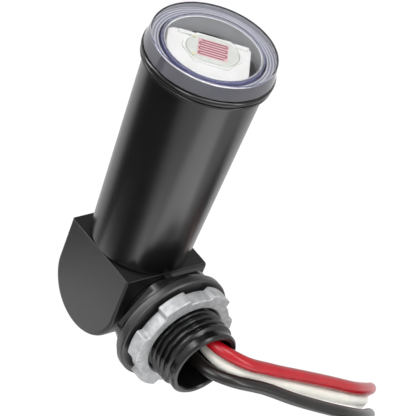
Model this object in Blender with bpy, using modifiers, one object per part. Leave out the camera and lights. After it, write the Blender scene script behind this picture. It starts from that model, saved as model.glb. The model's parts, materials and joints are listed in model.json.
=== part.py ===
"""Photocell switch: a stem-mounted light switch with a clear lens, a tapered tube, an elbow,
a half-inch conduit nipple with its gasket and locknut, and three leads.

Every length below is in millimetres, and the helper functions turn it into metres.
The nipple runs along +X, and the tube stands along +Z.
The origin is the centre of the gasket's seating face, on the nipple's axis.
"""
import math

import bmesh
import bpy
from mathutils import Matrix, Vector

# Units and clearances
MM = 0.001
GAP = 0.3
MERGE = 0.000001
OVERCUT = 1.0
TINY = 0.01
FINE = 56
COARSE = 24

# Elbow
TUBE_AXIS_X = -21.6
ELBOW_WALL = 2.8
ELBOW_TOP_Z = 11.2
ELBOW_ROUND_Z = -2.0
ELBOW_EDGE_RADIUS = 1.0
ELBOW_FOOT_EDGE_RADIUS = 2.8
ELBOW_TOP_EDGE = 0.3
ELBOW_PAD_PROUD = 1.6
ELBOW_PAD_CORNER = 3.0
ELBOW_PAD_TOP_EDGE = 1.2
ELBOW_PAD_INSET = 0.05
ELBOW_PAD_ROOT = 3.4
ELBOW_PAD_FOOT_Z = -5.0
ELBOW_RIB_WIDTH = 2.0
ELBOW_RIB_PROUD = 2.6
ELBOW_WELL_LEDGE = 1.1
ELBOW_WELL_DROP = 0.6
ELBOW_PASSAGE_CLEARANCE = 0.2
NECK_SOCKET_DEPTH = 1.6

# Tube
TUBE_TAPER = 0.044
TUBE_WALL = 1.9
TUBE_FLOOR = 2.2
TUBE_FOOT_EDGE = 0.6
TUBE_LIP_LEDGE = 0.1
TUBE_LIP_THICKNESS = 0.8
TUBE_SHOULDER = 3.5
TUBE_SPIGOT_WALL = 1.2
TUBE_SPIGOT_LENGTH = 3.2

# Seal and lens
SEAL_OVERHANG = 0.25
SEAL_THICKNESS = 1.9
SEAL_EDGE = 0.7
LENS_WALL = 3.5
LENS_DRAFT = 0.55
LENS_HEIGHT = 3.8
LENS_TOP_EDGE = 1.2
LENS_TOP_THICKNESS = 2.0
LENS_SKIRT_CLEARANCE = 0.47
LENS_SKIRT_THICKNESS = 0.9
LENS_SKIRT_DEPTH = 4.0

# Nipple
THREAD_RADIUS = 10.45
NIPPLE_WALL = 2.45
NIPPLE_REACH = 13.8
NIPPLE_END_STEP = 0.55
NIPPLE_END_CHAMFER = 1.4
NIPPLE_MOUTH_EDGE = 0.5
NECK_WALL = 1.6
HEX_WALL = 3.05
HEX_CORNER_CUT = 0.69
HEX_SIDES = 6
HEX_THICKNESS = 2.1
HEX_LAP = 0.5
WASHER_FACE_LAP = 0.3
WASHER_FACE_THICKNESS = 0.6

# Gasket and locknut
GASKET_WIDTH = 5.25
GASKET_THICKNESS = 2.6
GASKET_EDGE = 0.6
GASKET_RELIEF = 0.2
LOCKNUT_THICKNESS = 3.8
LOCKNUT_GRIP = 0.9
LOCKNUT_WALL = 2.9
LOCKNUT_LOBE_REACH = 1.35
LOCKNUT_LOBES = 6
LOCKNUT_LOBE_ANGLE = 29.0
LOCKNUT_FLANK_ANGLE = 2.5
LOCKNUT_FIRST_LOBE = 117.0
LOCKNUT_EDGE = 0.4

# Circuit board, turned about the tube's axis, and what is soldered to it
BOARD_TURN = 50.0
BOARD_WIDTH = 18.4
BOARD_EDGE_CLEARANCE = 0.42
BOARD_THICKNESS = 1.6
BOARD_OFFSET = -5.0
RAIL_THICKNESS = 1.0
RAIL_GRIP = 0.9
RAIL_STOP = 6.0

ROW_GAP = 0.5
BOARD_MARGIN = 7.2
RELAY_SIZE = (8.0, 12.5, 17.0)
RELAY_EDGE = 0.6
RELAY_HEAD_ROOM = 7.6
FILM_CAPACITOR_DEPTH = 6.5
FILM_CAPACITOR_HEIGHT = 11.0
FILM_CAPACITOR_EDGE = 0.8
FILTER_CAPACITOR_RADIUS = 3.15
FILTER_CAPACITOR_LENGTH = 11.0
FILTER_CAPACITOR_GROOVE = 0.35
FILTER_CAPACITOR_OVERHANG = 0.45
CAPACITOR_GAP = 0.35
RECTIFIER_SIZE = (6.4, 3.3, 8.4)
RECTIFIER_EDGE = 0.3
VARISTOR_RADIUS = 3.5
VARISTOR_THICKNESS = 3.4
VARISTOR_EDGE = 0.9
VARISTOR_GAP = 0.7
RESISTOR_RADIUS = 1.2
RESISTOR_WAIST = 0.95
RESISTOR_LENGTH = 6.4
RESISTOR_GAP = 0.6
RESISTOR_LIFT = 0.9
RESISTOR_SPACING = 2.0
TRANSISTOR_RADIUS = 2.35
TRANSISTOR_FLAT = 1.4
TRANSISTOR_HEIGHT = 4.4
ZENER_RADIUS = 0.95
ZENER_LENGTH = 4.2
ZENER_EDGE = 0.4
SMALL_PART_PLACE = 3.0

# Light cell and its carrier
CARRIER_CLEARANCE = 0.8
CARRIER_END_INSET = 0.9
CARRIER_FAR_RIM = 0.5
CARRIER_FAR_BOW = 0.35
CARRIER_CORNER = 2.6
CARRIER_THICKNESS = 1.7
CARRIER_TAB_SIZE = (3.6, 1.3, 0.6)
CARRIER_TAB_PLACE = 7.2
CARRIER_LEG_SIZE = (1.8, 1.4, 5.0)
CARRIER_LEG_PLACE = 7.9
CELL_OFFSET = 0.5
CELL_LENGTH = 13.7
CELL_WIDTH = 10.8
CELL_THICKNESS = 1.0
CELL_UNDER_LENS = 0.8
CELL_POCKET_DEPTH = 0.7
CELL_LEAD_RADIUS = 0.25
CELL_LEAD_PLACE = 5.1
CELL_LEAD_HOLE = 0.6
CELL_LEAD_DROP = 6.5
CELL_LEAD_BEND = 1.2

# Leads
LEAD_RADIUS = 1.7
LEAD_STEP = 6.0
CORE_RADIUS = 0.65
CORE_LENGTH = 9.0

# Heights up the tube, where the rows of components set its length
TUBE_FOOT_Z = ELBOW_TOP_Z + GAP
TUBE_FLOOR_Z = TUBE_FOOT_Z + TUBE_FLOOR
BOARD_FOOT_Z = TUBE_FLOOR_Z + GAP
LOW_ROW_Z = BOARD_FOOT_Z + BOARD_MARGIN
CAPACITOR_ROW_Z = LOW_ROW_Z + RECTIFIER_SIZE[2] + ROW_GAP
CAPACITOR_ROW_HEIGHT = max(FILM_CAPACITOR_HEIGHT, FILTER_CAPACITOR_LENGTH)
SMALL_PART_ROW_Z = CAPACITOR_ROW_Z + CAPACITOR_ROW_HEIGHT + ROW_GAP
RELAY_ROW_Z = SMALL_PART_ROW_Z + max(TRANSISTOR_HEIGHT, ZENER_LENGTH) + ROW_GAP
CARRIER_FOOT_Z = RELAY_ROW_Z + RELAY_SIZE[2] + RELAY_HEAD_ROOM
BOARD_TOP_Z = CARRIER_FOOT_Z - GAP
CARRIER_TOP_Z = CARRIER_FOOT_Z + CARRIER_THICKNESS
CELL_FOOT_Z = CARRIER_TOP_Z - CELL_POCKET_DEPTH + GAP
CELL_TOP_Z = CELL_FOOT_Z + CELL_THICKNESS
LENS_CEILING_Z = CELL_TOP_Z + CELL_UNDER_LENS
LENS_TOP_Z = LENS_CEILING_Z + LENS_TOP_THICKNESS
LENS_FOOT_Z = LENS_TOP_Z - LENS_HEIGHT
SEAL_TOP_Z = LENS_FOOT_Z - GAP
SEAL_FOOT_Z = SEAL_TOP_Z - SEAL_THICKNESS
TUBE_TOP_Z = SEAL_FOOT_Z - GAP

# Radii and widths that follow from the sizes above, from the board out to the elbow and lens
BOARD_REACH = math.hypot(BOARD_WIDTH / 2, abs(BOARD_OFFSET) + BOARD_THICKNESS / 2)
TUBE_FOOT_RADIUS = BOARD_REACH + BOARD_EDGE_CLEARANCE + TUBE_WALL - TUBE_TAPER * TUBE_FLOOR
TUBE_SPIGOT_RADIUS = TUBE_FOOT_RADIUS - TUBE_SHOULDER
TUBE_SPIGOT_BORE = TUBE_SPIGOT_RADIUS - TUBE_SPIGOT_WALL
TUBE_TOP_BORE = TUBE_FOOT_RADIUS + TUBE_TAPER * (TUBE_TOP_Z - TUBE_FOOT_Z) - TUBE_WALL
ELBOW_WIDTH = 2 * (TUBE_SPIGOT_RADIUS + GAP + ELBOW_WALL)
ELBOW_WELL_RADIUS = TUBE_SPIGOT_RADIUS + GAP - ELBOW_WELL_LEDGE
SKIRT_RADIUS = TUBE_TOP_BORE - LENS_SKIRT_CLEARANCE
SKIRT_BORE = SKIRT_RADIUS - LENS_SKIRT_THICKNESS
LENS_FOOT_RADIUS = SKIRT_RADIUS + LENS_WALL
LENS_TOP_RADIUS = LENS_FOOT_RADIUS - LENS_DRAFT
TUBE_LIP_RADIUS = LENS_FOOT_RADIUS + TUBE_LIP_LEDGE
SEAL_RADIUS = TUBE_LIP_RADIUS + SEAL_OVERHANG
CARRIER_REACH = SKIRT_BORE - CARRIER_CLEARANCE
CARRIER_HALF_LENGTH = CARRIER_REACH - CARRIER_END_INSET
CARRIER_NEAR_SIDE = math.sqrt(CARRIER_REACH ** 2 - (CARRIER_HALF_LENGTH - CARRIER_CORNER) ** 2)
CARRIER_FAR_SIDE = CELL_WIDTH / 2 + GAP + CARRIER_FAR_RIM - CELL_OFFSET

# Radii that follow from the thread
NIPPLE_BORE = THREAD_RADIUS - NIPPLE_WALL
NIPPLE_END_RADIUS = THREAD_RADIUS - NIPPLE_END_STEP
NECK_RADIUS = NIPPLE_BORE + NECK_WALL
ELBOW_PASSAGE_RADIUS = NIPPLE_BORE + ELBOW_PASSAGE_CLEARANCE
ELBOW_WELL_FLOOR_Z = -ELBOW_PASSAGE_RADIUS - ELBOW_WELL_DROP
HEX_APOTHEM = THREAD_RADIUS + HEX_WALL
HEX_CORNER_RADIUS = HEX_APOTHEM / math.cos(math.pi / HEX_SIDES) - HEX_CORNER_CUT
WASHER_FACE_RADIUS = HEX_CORNER_RADIUS + WASHER_FACE_LAP
THREAD_CLEAR_RADIUS = THREAD_RADIUS + GAP
GASKET_RADIUS = THREAD_CLEAR_RADIUS + GASKET_WIDTH
LOCKNUT_ROOT_RADIUS = THREAD_CLEAR_RADIUS + LOCKNUT_WALL
LOCKNUT_TIP_RADIUS = LOCKNUT_ROOT_RADIUS + LOCKNUT_LOBE_REACH

# Places along the nipple's axis that follow from the sizes above
ELBOW_FRONT_X = TUBE_AXIS_X + ELBOW_WIDTH / 2
NECK_SOCKET_X = ELBOW_FRONT_X - NECK_SOCKET_DEPTH
HEX_FRONT_X = -GASKET_THICKNESS - GAP - WASHER_FACE_THICKNESS
HEX_BACK_X = HEX_FRONT_X - HEX_THICKNESS
NIPPLE_BACK_X = NECK_SOCKET_X + GAP
LOCKNUT_BACK_X = LOCKNUT_GRIP
LOCKNUT_FRONT_X = LOCKNUT_BACK_X + LOCKNUT_THICKNESS

# The plane on the board's side where its components start
COMPONENT_FACE = BOARD_OFFSET + BOARD_THICKNESS / 2 + GAP

# The components' places: along the board, and the height of the middle
CAPACITOR_SIDE = BOARD_WIDTH / 2 - RAIL_GRIP - GAP
RECTIFIER_PLACE = (RECTIFIER_SIZE[0] / 2, LOW_ROW_Z + RECTIFIER_SIZE[2] / 2)
VARISTOR_PLACE = (-VARISTOR_GAP - VARISTOR_RADIUS, LOW_ROW_Z + RECTIFIER_SIZE[2] / 2)
FILTER_CAPACITOR_PLACE = (CAPACITOR_SIDE + FILTER_CAPACITOR_OVERHANG - FILTER_CAPACITOR_RADIUS,
                          CAPACITOR_ROW_Z + FILTER_CAPACITOR_LENGTH / 2)
FILM_CAPACITOR_END = FILTER_CAPACITOR_PLACE[0] - FILTER_CAPACITOR_RADIUS - CAPACITOR_GAP
FILM_CAPACITOR_SIZE = (FILM_CAPACITOR_END + CAPACITOR_SIDE, FILM_CAPACITOR_DEPTH,
                       FILM_CAPACITOR_HEIGHT)
FILM_CAPACITOR_PLACE = ((FILM_CAPACITOR_END - CAPACITOR_SIDE) / 2,
                        CAPACITOR_ROW_Z + FILM_CAPACITOR_HEIGHT / 2)
TRANSISTOR_PLACE = (SMALL_PART_PLACE, SMALL_PART_ROW_Z + TRANSISTOR_HEIGHT / 2)
ZENER_PLACE = (-SMALL_PART_PLACE, SMALL_PART_ROW_Z + ZENER_LENGTH / 2)
RELAY_PLACE = (0.0, RELAY_ROW_Z + RELAY_SIZE[2] / 2)
RESISTOR_SIDE = RELAY_SIZE[0] / 2 + RESISTOR_GAP + RESISTOR_RADIUS
RESISTOR_ROW_Z = RELAY_ROW_Z + RESISTOR_LIFT + RESISTOR_LENGTH / 2
RESISTOR_PLACES = {
    "dropper_resistor": (RESISTOR_SIDE, RESISTOR_ROW_Z),
    "bleed_resistor": (-RESISTOR_SIDE, RESISTOR_ROW_Z),
    "bias_resistor": (-RESISTOR_SIDE, RESISTOR_ROW_Z + RESISTOR_LENGTH + RESISTOR_SPACING),
}

# Routes of the leads, chosen by hand: from the board, round the elbow, out of the nipple
# and down under their own weight
LEAD_ROUTES = {
    "red_lead": [
        (-20.4, 4.9, 20.0), (-20.4, 4.9, 14.5), (-19.7, 4.7, 10.2), (-16.4, 4.1, 5.9),
        (-9.6, 3.5, 3.9), (0.0, 3.4, 4.1), (6.4, 3.1, 3.9), (11.8, 3.9, 3.5),
        (15.5, 6.5, 2.7), (17.9, 11.5, 0.4), (18.7, 17.8, -2.4), (19.4, 22.3, -4.3),
        (20.0, 32.3, -8.8), (20.2, 42.9, -14.0), (20.0, 53.8, -19.8), (16.9, 63.7, -26.5),
        (11.9, 72.7, -34.2), (6.1, 80.8, -42.6), (0.3, 87.9, -51.6),
    ],
    "white_lead": [
        (-23.3, 1.4, 20.0), (-23.2, 1.5, 14.5), (-22.1, 1.9, 7.8), (-17.9, 3.2, 1.9),
        (-10.0, 5.0, 0.2), (0.0, 5.3, 0.1), (4.5, 4.5, 0.0), (9.4, 4.3, -0.2),
        (13.6, 5.4, -0.8), (16.2, 8.9, -2.5), (17.2, 13.7, -4.6), (18.1, 18.2, -6.9), (19.3, 24.5, -9.3),
        (20.2, 32.2, -12.8), (20.6, 41.8, -17.6), (20.5, 51.7, -22.7), (17.7, 61.3, -29.3),
        (12.7, 70.3, -36.9), (7.1, 78.3, -45.5), (1.7, 85.3, -54.9),
    ],
    "black_lead": [
        (-26.2, -2.0, 20.0), (-26.1, -2.0, 14.5), (-25.0, -1.0, 6.5), (-20.5, 1.2, -0.5),
        (-13.0, 1.6, -3.2), (-4.0, 1.3, -3.4), (4.0, 0.9, -2.9), (9.4, 0.9, -2.3),
        (14.7, 1.9, -2.2), (19.2, 6.6, -2.8), (21.8, 15.9, -5.9), (24.5, 26.2, -10.7),
        (26.0, 37.7, -16.2), (26.5, 46.7, -20.6), (24.9, 55.7, -26.2), (20.5, 64.7, -33.2),
        (15.1, 72.8, -41.4), (9.9, 80.0, -50.6), (5.3, 85.8, -60.2),
    ],
}


def clear_scene():
    """Removes whatever the file opened with."""
    for item in list(bpy.data.objects):
        bpy.data.objects.remove(item, do_unlink=True)


def new_collection(name):
    collection = bpy.data.collections.new(name)
    bpy.context.scene.collection.children.link(collection)
    return collection


def mm(*values):
    """A point or size in metres, from millimetres."""
    return Vector([value * MM for value in values])


def material(name, colour, roughness, metallic=0.0, alpha=1.0):
    """A plain surface: its colour is red, green and blue from 0 to 1."""
    surface = bpy.data.materials.new(name)
    surface.use_nodes = True
    shader = surface.node_tree.nodes["Principled BSDF"]
    shader.inputs["Base Color"].default_value = (*colour, 1.0)
    shader.inputs["Roughness"].default_value = roughness
    shader.inputs["Metallic"].default_value = metallic
    shader.inputs["Alpha"].default_value = alpha
    surface.diffuse_color = (*colour, alpha)
    return surface


def place(item, collection, surface=None, matrix=None):
    """Links an object, gives it its material and puts it where the matrix says."""
    collection.objects.link(item)
    if matrix is not None:
        item.matrix_world = matrix
    if surface is not None:
        item.data.materials.append(surface)
    return item


def as_cutter(item):
    item.hide_render = True
    item.display_type = "WIRE"
    return item


def about_z(x=0.0, y=0.0, turn=0.0):
    """The frame of a piece that stands along +Z at x, y, turned by an angle in degrees."""
    return Matrix.Translation(mm(x, y, 0)) @ Matrix.Rotation(math.radians(turn), 4, "Z")


def about_x():
    """The frame of a turned piece on the nipple's axis: its own Z becomes the row's X."""
    return Matrix.Rotation(math.radians(90), 4, "Y")


def board_frame():
    """The frame of the board: X along its width, Y out of the side that carries the parts."""
    return about_z(TUBE_AXIS_X, 0.0, BOARD_TURN) @ Matrix.Diagonal((1, -1, 1, 1))


def board_point(along, out, z):
    """The row's point for a place on the board's own axes, in millimetres."""
    turn = math.radians(BOARD_TURN)
    x = TUBE_AXIS_X + along * math.cos(turn) + out * math.sin(turn)
    y = along * math.sin(turn) - out * math.cos(turn)
    return (x, y, z)


def turned(name, collection, profile, surface, matrix, steps=FINE, closed=True):
    """A turned piece from (radius, height) points, down its outer side and up its inner one."""
    mesh = bpy.data.meshes.new(name)
    points = [mm(radius, 0, height) for radius, height in profile]
    edges = [(i, i + 1) for i in range(len(points) - 1)]
    if closed:
        edges.append((len(points) - 1, 0))
    mesh.from_pydata(points, edges, [])
    item = place(bpy.data.objects.new(name, mesh), collection, surface, matrix)
    screw = item.modifiers.new("Turn", "SCREW")
    screw.axis = "Z"
    screw.angle = math.tau
    screw.steps = steps
    screw.render_steps = steps
    screw.use_merge_vertices = True
    screw.merge_threshold = MERGE
    screw.use_smooth_shade = True
    return item


def arc(centre, radius, start, end, steps):
    """Points on an arc, with its angles in degrees."""
    points = []
    for i in range(steps + 1):
        angle = math.radians(start + (end - start) * i / steps)
        points.append((centre[0] + radius * math.cos(angle), centre[1] + radius * math.sin(angle)))
    return points


def flat(name, collection, outline, thickness, surface, matrix):
    """A flat piece: a closed outline with half its thickness on each side, made a mesh."""
    curve = bpy.data.curves.new(name, "CURVE")
    curve.dimensions = "2D"
    curve.fill_mode = "BOTH"
    curve.extrude = thickness * MM / 2
    spline = curve.splines.new("POLY")
    spline.points.add(len(outline) - 1)
    for point, (x, y) in zip(spline.points, outline):
        point.co = (x * MM, y * MM, 0, 1)
    spline.use_cyclic_u = True
    outline_object = bpy.data.objects.new(name + "_outline", curve)
    collection.objects.link(outline_object)
    graph = bpy.context.evaluated_depsgraph_get()
    mesh = bpy.data.meshes.new_from_object(outline_object.evaluated_get(graph))
    bpy.data.objects.remove(outline_object, do_unlink=True)
    weld(mesh)
    mesh.name = name
    return place(bpy.data.objects.new(name, mesh), collection, surface, matrix)


def weld(mesh):
    """Joins the loose caps of a mesh made from a curve, with its faces pointing out."""
    work = bmesh.new()
    work.from_mesh(mesh)
    bmesh.ops.remove_doubles(work, verts=work.verts, dist=MERGE)
    bmesh.ops.recalc_face_normals(work, faces=work.faces)
    work.to_mesh(mesh)
    work.free()


def block(name, collection, size, centre, surface, matrix, edge=0.0):
    """A box with rounded edges, at its place in the frame that the matrix gives."""
    work = bmesh.new()
    bmesh.ops.create_cube(work, size=1.0)
    bmesh.ops.scale(work, vec=mm(*size), verts=work.verts)
    bmesh.ops.translate(work, vec=mm(*centre), verts=work.verts)
    bmesh.ops.transform(work, matrix=matrix, verts=work.verts)
    bmesh.ops.recalc_face_normals(work, faces=work.faces)
    mesh = bpy.data.meshes.new(name)
    work.to_mesh(mesh)
    work.free()
    item = place(bpy.data.objects.new(name, mesh), collection, surface)
    if edge:
        soften(item, edge)
    return item


def soften(item, width, segments=2, by_weight=False):
    """Rounds an object's edges: all the sharp ones, or those that carry a weight."""
    bevel = item.modifiers.new("Edges", "BEVEL")
    bevel.width = width * MM
    bevel.segments = segments
    bevel.limit_method = "WEIGHT" if by_weight else "ANGLE"
    bevel.angle_limit = math.radians(40)


def combine(item, other, operation):
    """Adds a Boolean that joins, cuts or trims an object with another."""
    boolean = item.modifiers.new(operation.title(), "BOOLEAN")
    boolean.operation = operation
    boolean.solver = "EXACT"
    boolean.object = as_cutter(other)


def smooth(item, angle=35.0):
    """Shades a mesh smooth, with its sharp edges kept."""
    item.data.shade_smooth()
    item.data.set_sharp_from_angle(angle=math.radians(angle))


def wire(name, collection, points, radius, surface):
    """A round wire along points in millimetres, with closed ends."""
    curve = bpy.data.curves.new(name, "CURVE")
    curve.dimensions = "3D"
    curve.bevel_depth = radius * MM
    curve.bevel_resolution = 2
    curve.use_fill_caps = True
    spline = curve.splines.new("POLY")
    spline.points.add(len(points) - 1)
    for point, place_mm in zip(spline.points, points):
        point.co = (*mm(*place_mm), 1)
    return place(bpy.data.objects.new(name, curve), collection, surface)


def smooth_route(route, step):
    """Evenly spaced points on a smooth curve through the route's own points."""
    ends = [Vector(point) for point in route]
    ends = [2 * ends[0] - ends[1]] + ends + [2 * ends[-1] - ends[-2]]
    dense = [ends[1]]
    for a, b, c, d in zip(ends, ends[1:], ends[2:], ends[3:]):
        for i in range(1, 21):
            t = i / 20
            dense.append(0.5 * (2 * b + (c - a) * t + (2 * a - 5 * b + 4 * c - d) * t * t
                                + (3 * b - 3 * c + d - a) * t * t * t))
    lengths = [0.0]
    for a, b in zip(dense, dense[1:]):
        lengths.append(lengths[-1] + (b - a).length)
    count = round(lengths[-1] / step)
    points = []
    j = 0
    for i in range(count + 1):
        along = lengths[-1] * i / count
        while j < len(lengths) - 2 and lengths[j + 1] < along:
            j += 1
        share = (along - lengths[j]) / (lengths[j + 1] - lengths[j])
        points.append(dense[j].lerp(dense[j + 1], share))
    return points


def tube_outer(z):
    """The tube's outer radius at a height."""
    return TUBE_FOOT_RADIUS + TUBE_TAPER * (z - TUBE_FOOT_Z)


def tube_inner(z):
    return tube_outer(z) - TUBE_WALL


def elbow_outline():
    """The elbow's side view about the tube's axis: a flat top, a half-round foot, a straight back."""
    half = ELBOW_WIDTH / 2
    outline = [(half, ELBOW_TOP_Z)]
    outline += arc((ELBOW_EDGE_RADIUS - half, ELBOW_TOP_Z - ELBOW_EDGE_RADIUS),
                   ELBOW_EDGE_RADIUS, 90, 180, 3)
    outline += arc((0, ELBOW_ROUND_Z), half, 180, 360, 20)
    return outline


def pad_outline():
    """The raised pad's side view: a straight front, a sloping foot and a root in the elbow."""
    half = ELBOW_WIDTH / 2
    top = ELBOW_TOP_Z - ELBOW_PAD_INSET
    front = half + ELBOW_PAD_PROUD
    root = half - ELBOW_PAD_ROOT
    return [(front, top), (root, top), (root, ELBOW_PAD_FOOT_Z - ELBOW_PAD_ROOT),
            (front, ELBOW_PAD_FOOT_Z)]


def weigh_edges(item, weight_of):
    """Gives each edge of a mesh the bevel weight that a function reads from its two ends."""
    work = bmesh.new()
    work.from_mesh(item.data)
    weights = work.edges.layers.float.new("bevel_weight_edge")
    for edge in work.edges:
        edge[weights] = weight_of(*(vert.co / MM for vert in edge.verts))
    work.to_mesh(item.data)
    work.free()


def side_frame(y=0.0):
    """The frame of a side view: its X is the row's X from the tube's axis, its Y the row's Z."""
    return about_z(TUBE_AXIS_X, y) @ Matrix.Rotation(math.radians(90), 4, "X")


def make_elbow(parts, cutters, surface):
    """The moulded elbow: flat sides, a half-round foot, and a raised pad and a rib at the front."""
    half = ELBOW_WIDTH / 2
    elbow = flat("elbow_body", parts, elbow_outline(), ELBOW_WIDTH, surface, side_frame())

    def side_edges(a, b):
        if abs(a.z - b.z) > TINY:
            return 0.0
        if min(a.y, b.y) > ELBOW_TOP_Z - TINY:
            return ELBOW_TOP_EDGE / ELBOW_FOOT_EDGE_RADIUS
        drop = (ELBOW_TOP_Z - (a.y + b.y) / 2) / (ELBOW_TOP_Z - ELBOW_ROUND_Z + half)
        growth = ELBOW_FOOT_EDGE_RADIUS - ELBOW_EDGE_RADIUS
        return (ELBOW_EDGE_RADIUS + growth * drop) / ELBOW_FOOT_EDGE_RADIUS

    weigh_edges(elbow, side_edges)
    soften(elbow, ELBOW_FOOT_EDGE_RADIUS, 2, by_weight=True)

    pad_width = half - ELBOW_PAD_INSET
    pad_middle = pad_width / 2
    pad = flat("elbow_pad", cutters, pad_outline(), pad_width, surface, side_frame(pad_middle))

    def pad_edges(a, b):
        front = half + ELBOW_PAD_PROUD - TINY
        if min(a.x, b.x) > front and min(a.y, b.y) > ELBOW_TOP_Z - ELBOW_PAD_INSET - TINY:
            return ELBOW_PAD_TOP_EDGE / ELBOW_PAD_CORNER
        outer_side = a.z < 0 and b.z < 0
        return 1.0 if outer_side and min(a.x, b.x) > half - ELBOW_PAD_ROOT + TINY else 0.0

    weigh_edges(pad, pad_edges)
    soften(pad, ELBOW_PAD_CORNER, 3, by_weight=True)
    combine(elbow, pad, "UNION")

    rib_height = ELBOW_TOP_Z - 2 * ELBOW_PAD_INSET
    rib_reach = ELBOW_PAD_ROOT + ELBOW_RIB_PROUD
    rib = block("elbow_rib", cutters, (rib_reach, ELBOW_RIB_WIDTH, rib_height),
                (ELBOW_FRONT_X + ELBOW_RIB_PROUD - rib_reach / 2, 0, rib_height / 2),
                surface, Matrix.Identity(4))
    combine(elbow, rib, "UNION")

    above = ELBOW_TOP_Z + OVERCUT
    socket_floor = TUBE_FOOT_Z - TUBE_SPIGOT_LENGTH - 2 * GAP
    well = turned("elbow_well", cutters, [
        (0, above),
        (TUBE_SPIGOT_RADIUS + GAP, above),
        (TUBE_SPIGOT_RADIUS + GAP, socket_floor),
        (ELBOW_WELL_RADIUS, socket_floor),
        (ELBOW_WELL_RADIUS, ELBOW_WELL_FLOOR_Z),
        (0, ELBOW_WELL_FLOOR_Z),
    ], surface, about_z(TUBE_AXIS_X), closed=False)
    combine(elbow, well, "DIFFERENCE")
    ahead = ELBOW_FRONT_X + ELBOW_RIB_PROUD + OVERCUT
    half_facet = Matrix.Rotation(math.pi / FINE, 4, "Z")
    passage = turned("elbow_passage", cutters, [
        (0, ahead),
        (NECK_RADIUS + GAP, ahead),
        (NECK_RADIUS + GAP, NECK_SOCKET_X),
        (ELBOW_PASSAGE_RADIUS, NECK_SOCKET_X),
        (ELBOW_PASSAGE_RADIUS, TUBE_AXIS_X),
        (0, TUBE_AXIS_X),
    ], surface, about_x() @ half_facet, closed=False)
    combine(elbow, passage, "DIFFERENCE")
    smooth(elbow)


def rail_profile(side):
    """A rail's outline along the board's width and up the tube, following the tapered wall."""
    foot = TUBE_FLOOR_Z - TUBE_FLOOR / 2
    top = CARRIER_FOOT_Z - RAIL_STOP
    inner = BOARD_WIDTH / 2 - RAIL_GRIP
    reach = abs(BOARD_OFFSET) + BOARD_THICKNESS / 2 + GAP + RAIL_THICKNESS

    def wall(z):
        return math.sqrt(tube_inner(z) ** 2 - reach ** 2) + TUBE_WALL / 2

    return [(side * inner, foot), (side * wall(foot), foot), (side * wall(top), top),
            (side * inner, top)]


def make_tube(parts, cutters, surface):
    """The tapered tube: a spigot below, a floor, a lip on top, and rails for the board."""
    top = TUBE_TOP_Z
    lip = TUBE_TOP_Z - TUBE_LIP_THICKNESS
    foot = TUBE_FOOT_Z
    tube = turned("housing_tube", parts, [
        (tube_inner(top), top),
        (TUBE_LIP_RADIUS, top),
        (TUBE_LIP_RADIUS, lip),
        (tube_outer(lip), lip),
        (tube_outer(foot + TUBE_FOOT_EDGE), foot + TUBE_FOOT_EDGE),
        (TUBE_FOOT_RADIUS - TUBE_FOOT_EDGE, foot),
        (TUBE_SPIGOT_RADIUS, foot),
        (TUBE_SPIGOT_RADIUS, foot - TUBE_SPIGOT_LENGTH),
        (TUBE_SPIGOT_BORE, foot - TUBE_SPIGOT_LENGTH),
        (TUBE_SPIGOT_BORE, TUBE_FLOOR_Z),
        (tube_inner(TUBE_FLOOR_Z), TUBE_FLOOR_Z),
    ], surface, about_z(TUBE_AXIS_X))
    rail_offset = (BOARD_THICKNESS + RAIL_THICKNESS) / 2 + GAP
    for side in (-1, 1):
        for face in (-1, 1):
            out = BOARD_OFFSET + face * rail_offset
            frame = board_frame() @ Matrix.Translation(mm(0, out, 0))
            frame = frame @ Matrix.Rotation(math.radians(90), 4, "X")
            rail = flat(f"rail_{side}_{face}", cutters, rail_profile(side), RAIL_THICKNESS,
                        surface, frame)
            fix_mirrored(rail)
            combine(tube, rail, "UNION")


def fix_mirrored(item):
    """Applies a mirrored frame to the mesh itself, with its faces pointing out again."""
    item.data.transform(item.matrix_world)
    item.matrix_world = Matrix.Identity(4)
    weld(item.data)


def make_seal(parts, surface):
    """The rubber ring between the tube's lip and the lens, with a rounded edge."""
    inner = TUBE_TOP_BORE
    rim = SEAL_RADIUS - SEAL_EDGE
    profile = [(inner, SEAL_TOP_Z)]
    profile += arc((rim, SEAL_TOP_Z - SEAL_EDGE), SEAL_EDGE, 90, 0, 3)
    profile += arc((rim, SEAL_FOOT_Z + SEAL_EDGE), SEAL_EDGE, 0, -90, 3)
    profile.append((inner, SEAL_FOOT_Z))
    turned("lens_seal", parts, profile, surface, about_z(TUBE_AXIS_X))


def make_lens(parts, surface):
    """The clear cap: a thick side wall, a flat window and a thin skirt inside the tube."""
    skirt_foot = LENS_FOOT_Z - LENS_SKIRT_DEPTH
    profile = [(0, LENS_TOP_Z)]
    profile += arc((LENS_TOP_RADIUS - LENS_TOP_EDGE, LENS_TOP_Z - LENS_TOP_EDGE),
                   LENS_TOP_EDGE, 90, 0, 4)
    profile += [
        (LENS_FOOT_RADIUS, LENS_FOOT_Z),
        (SKIRT_RADIUS, LENS_FOOT_Z),
        (SKIRT_RADIUS, skirt_foot),
        (SKIRT_BORE, skirt_foot),
        (SKIRT_BORE, LENS_CEILING_Z),
        (0, LENS_CEILING_Z),
    ]
    turned("lens_cap", parts, profile, surface, about_z(TUBE_AXIS_X), closed=False)


def hex_outline():
    """A hexagon with its corners rounded to one radius."""
    spread = math.degrees(math.acos(HEX_APOTHEM / HEX_CORNER_RADIUS))
    corner_half = 180 / HEX_SIDES - spread
    outline = []
    for i in range(HEX_SIDES):
        corner = 360 / HEX_SIDES * i
        outline += arc((0, 0), HEX_CORNER_RADIUS, corner - corner_half, corner + corner_half, 4)
    return outline


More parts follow.
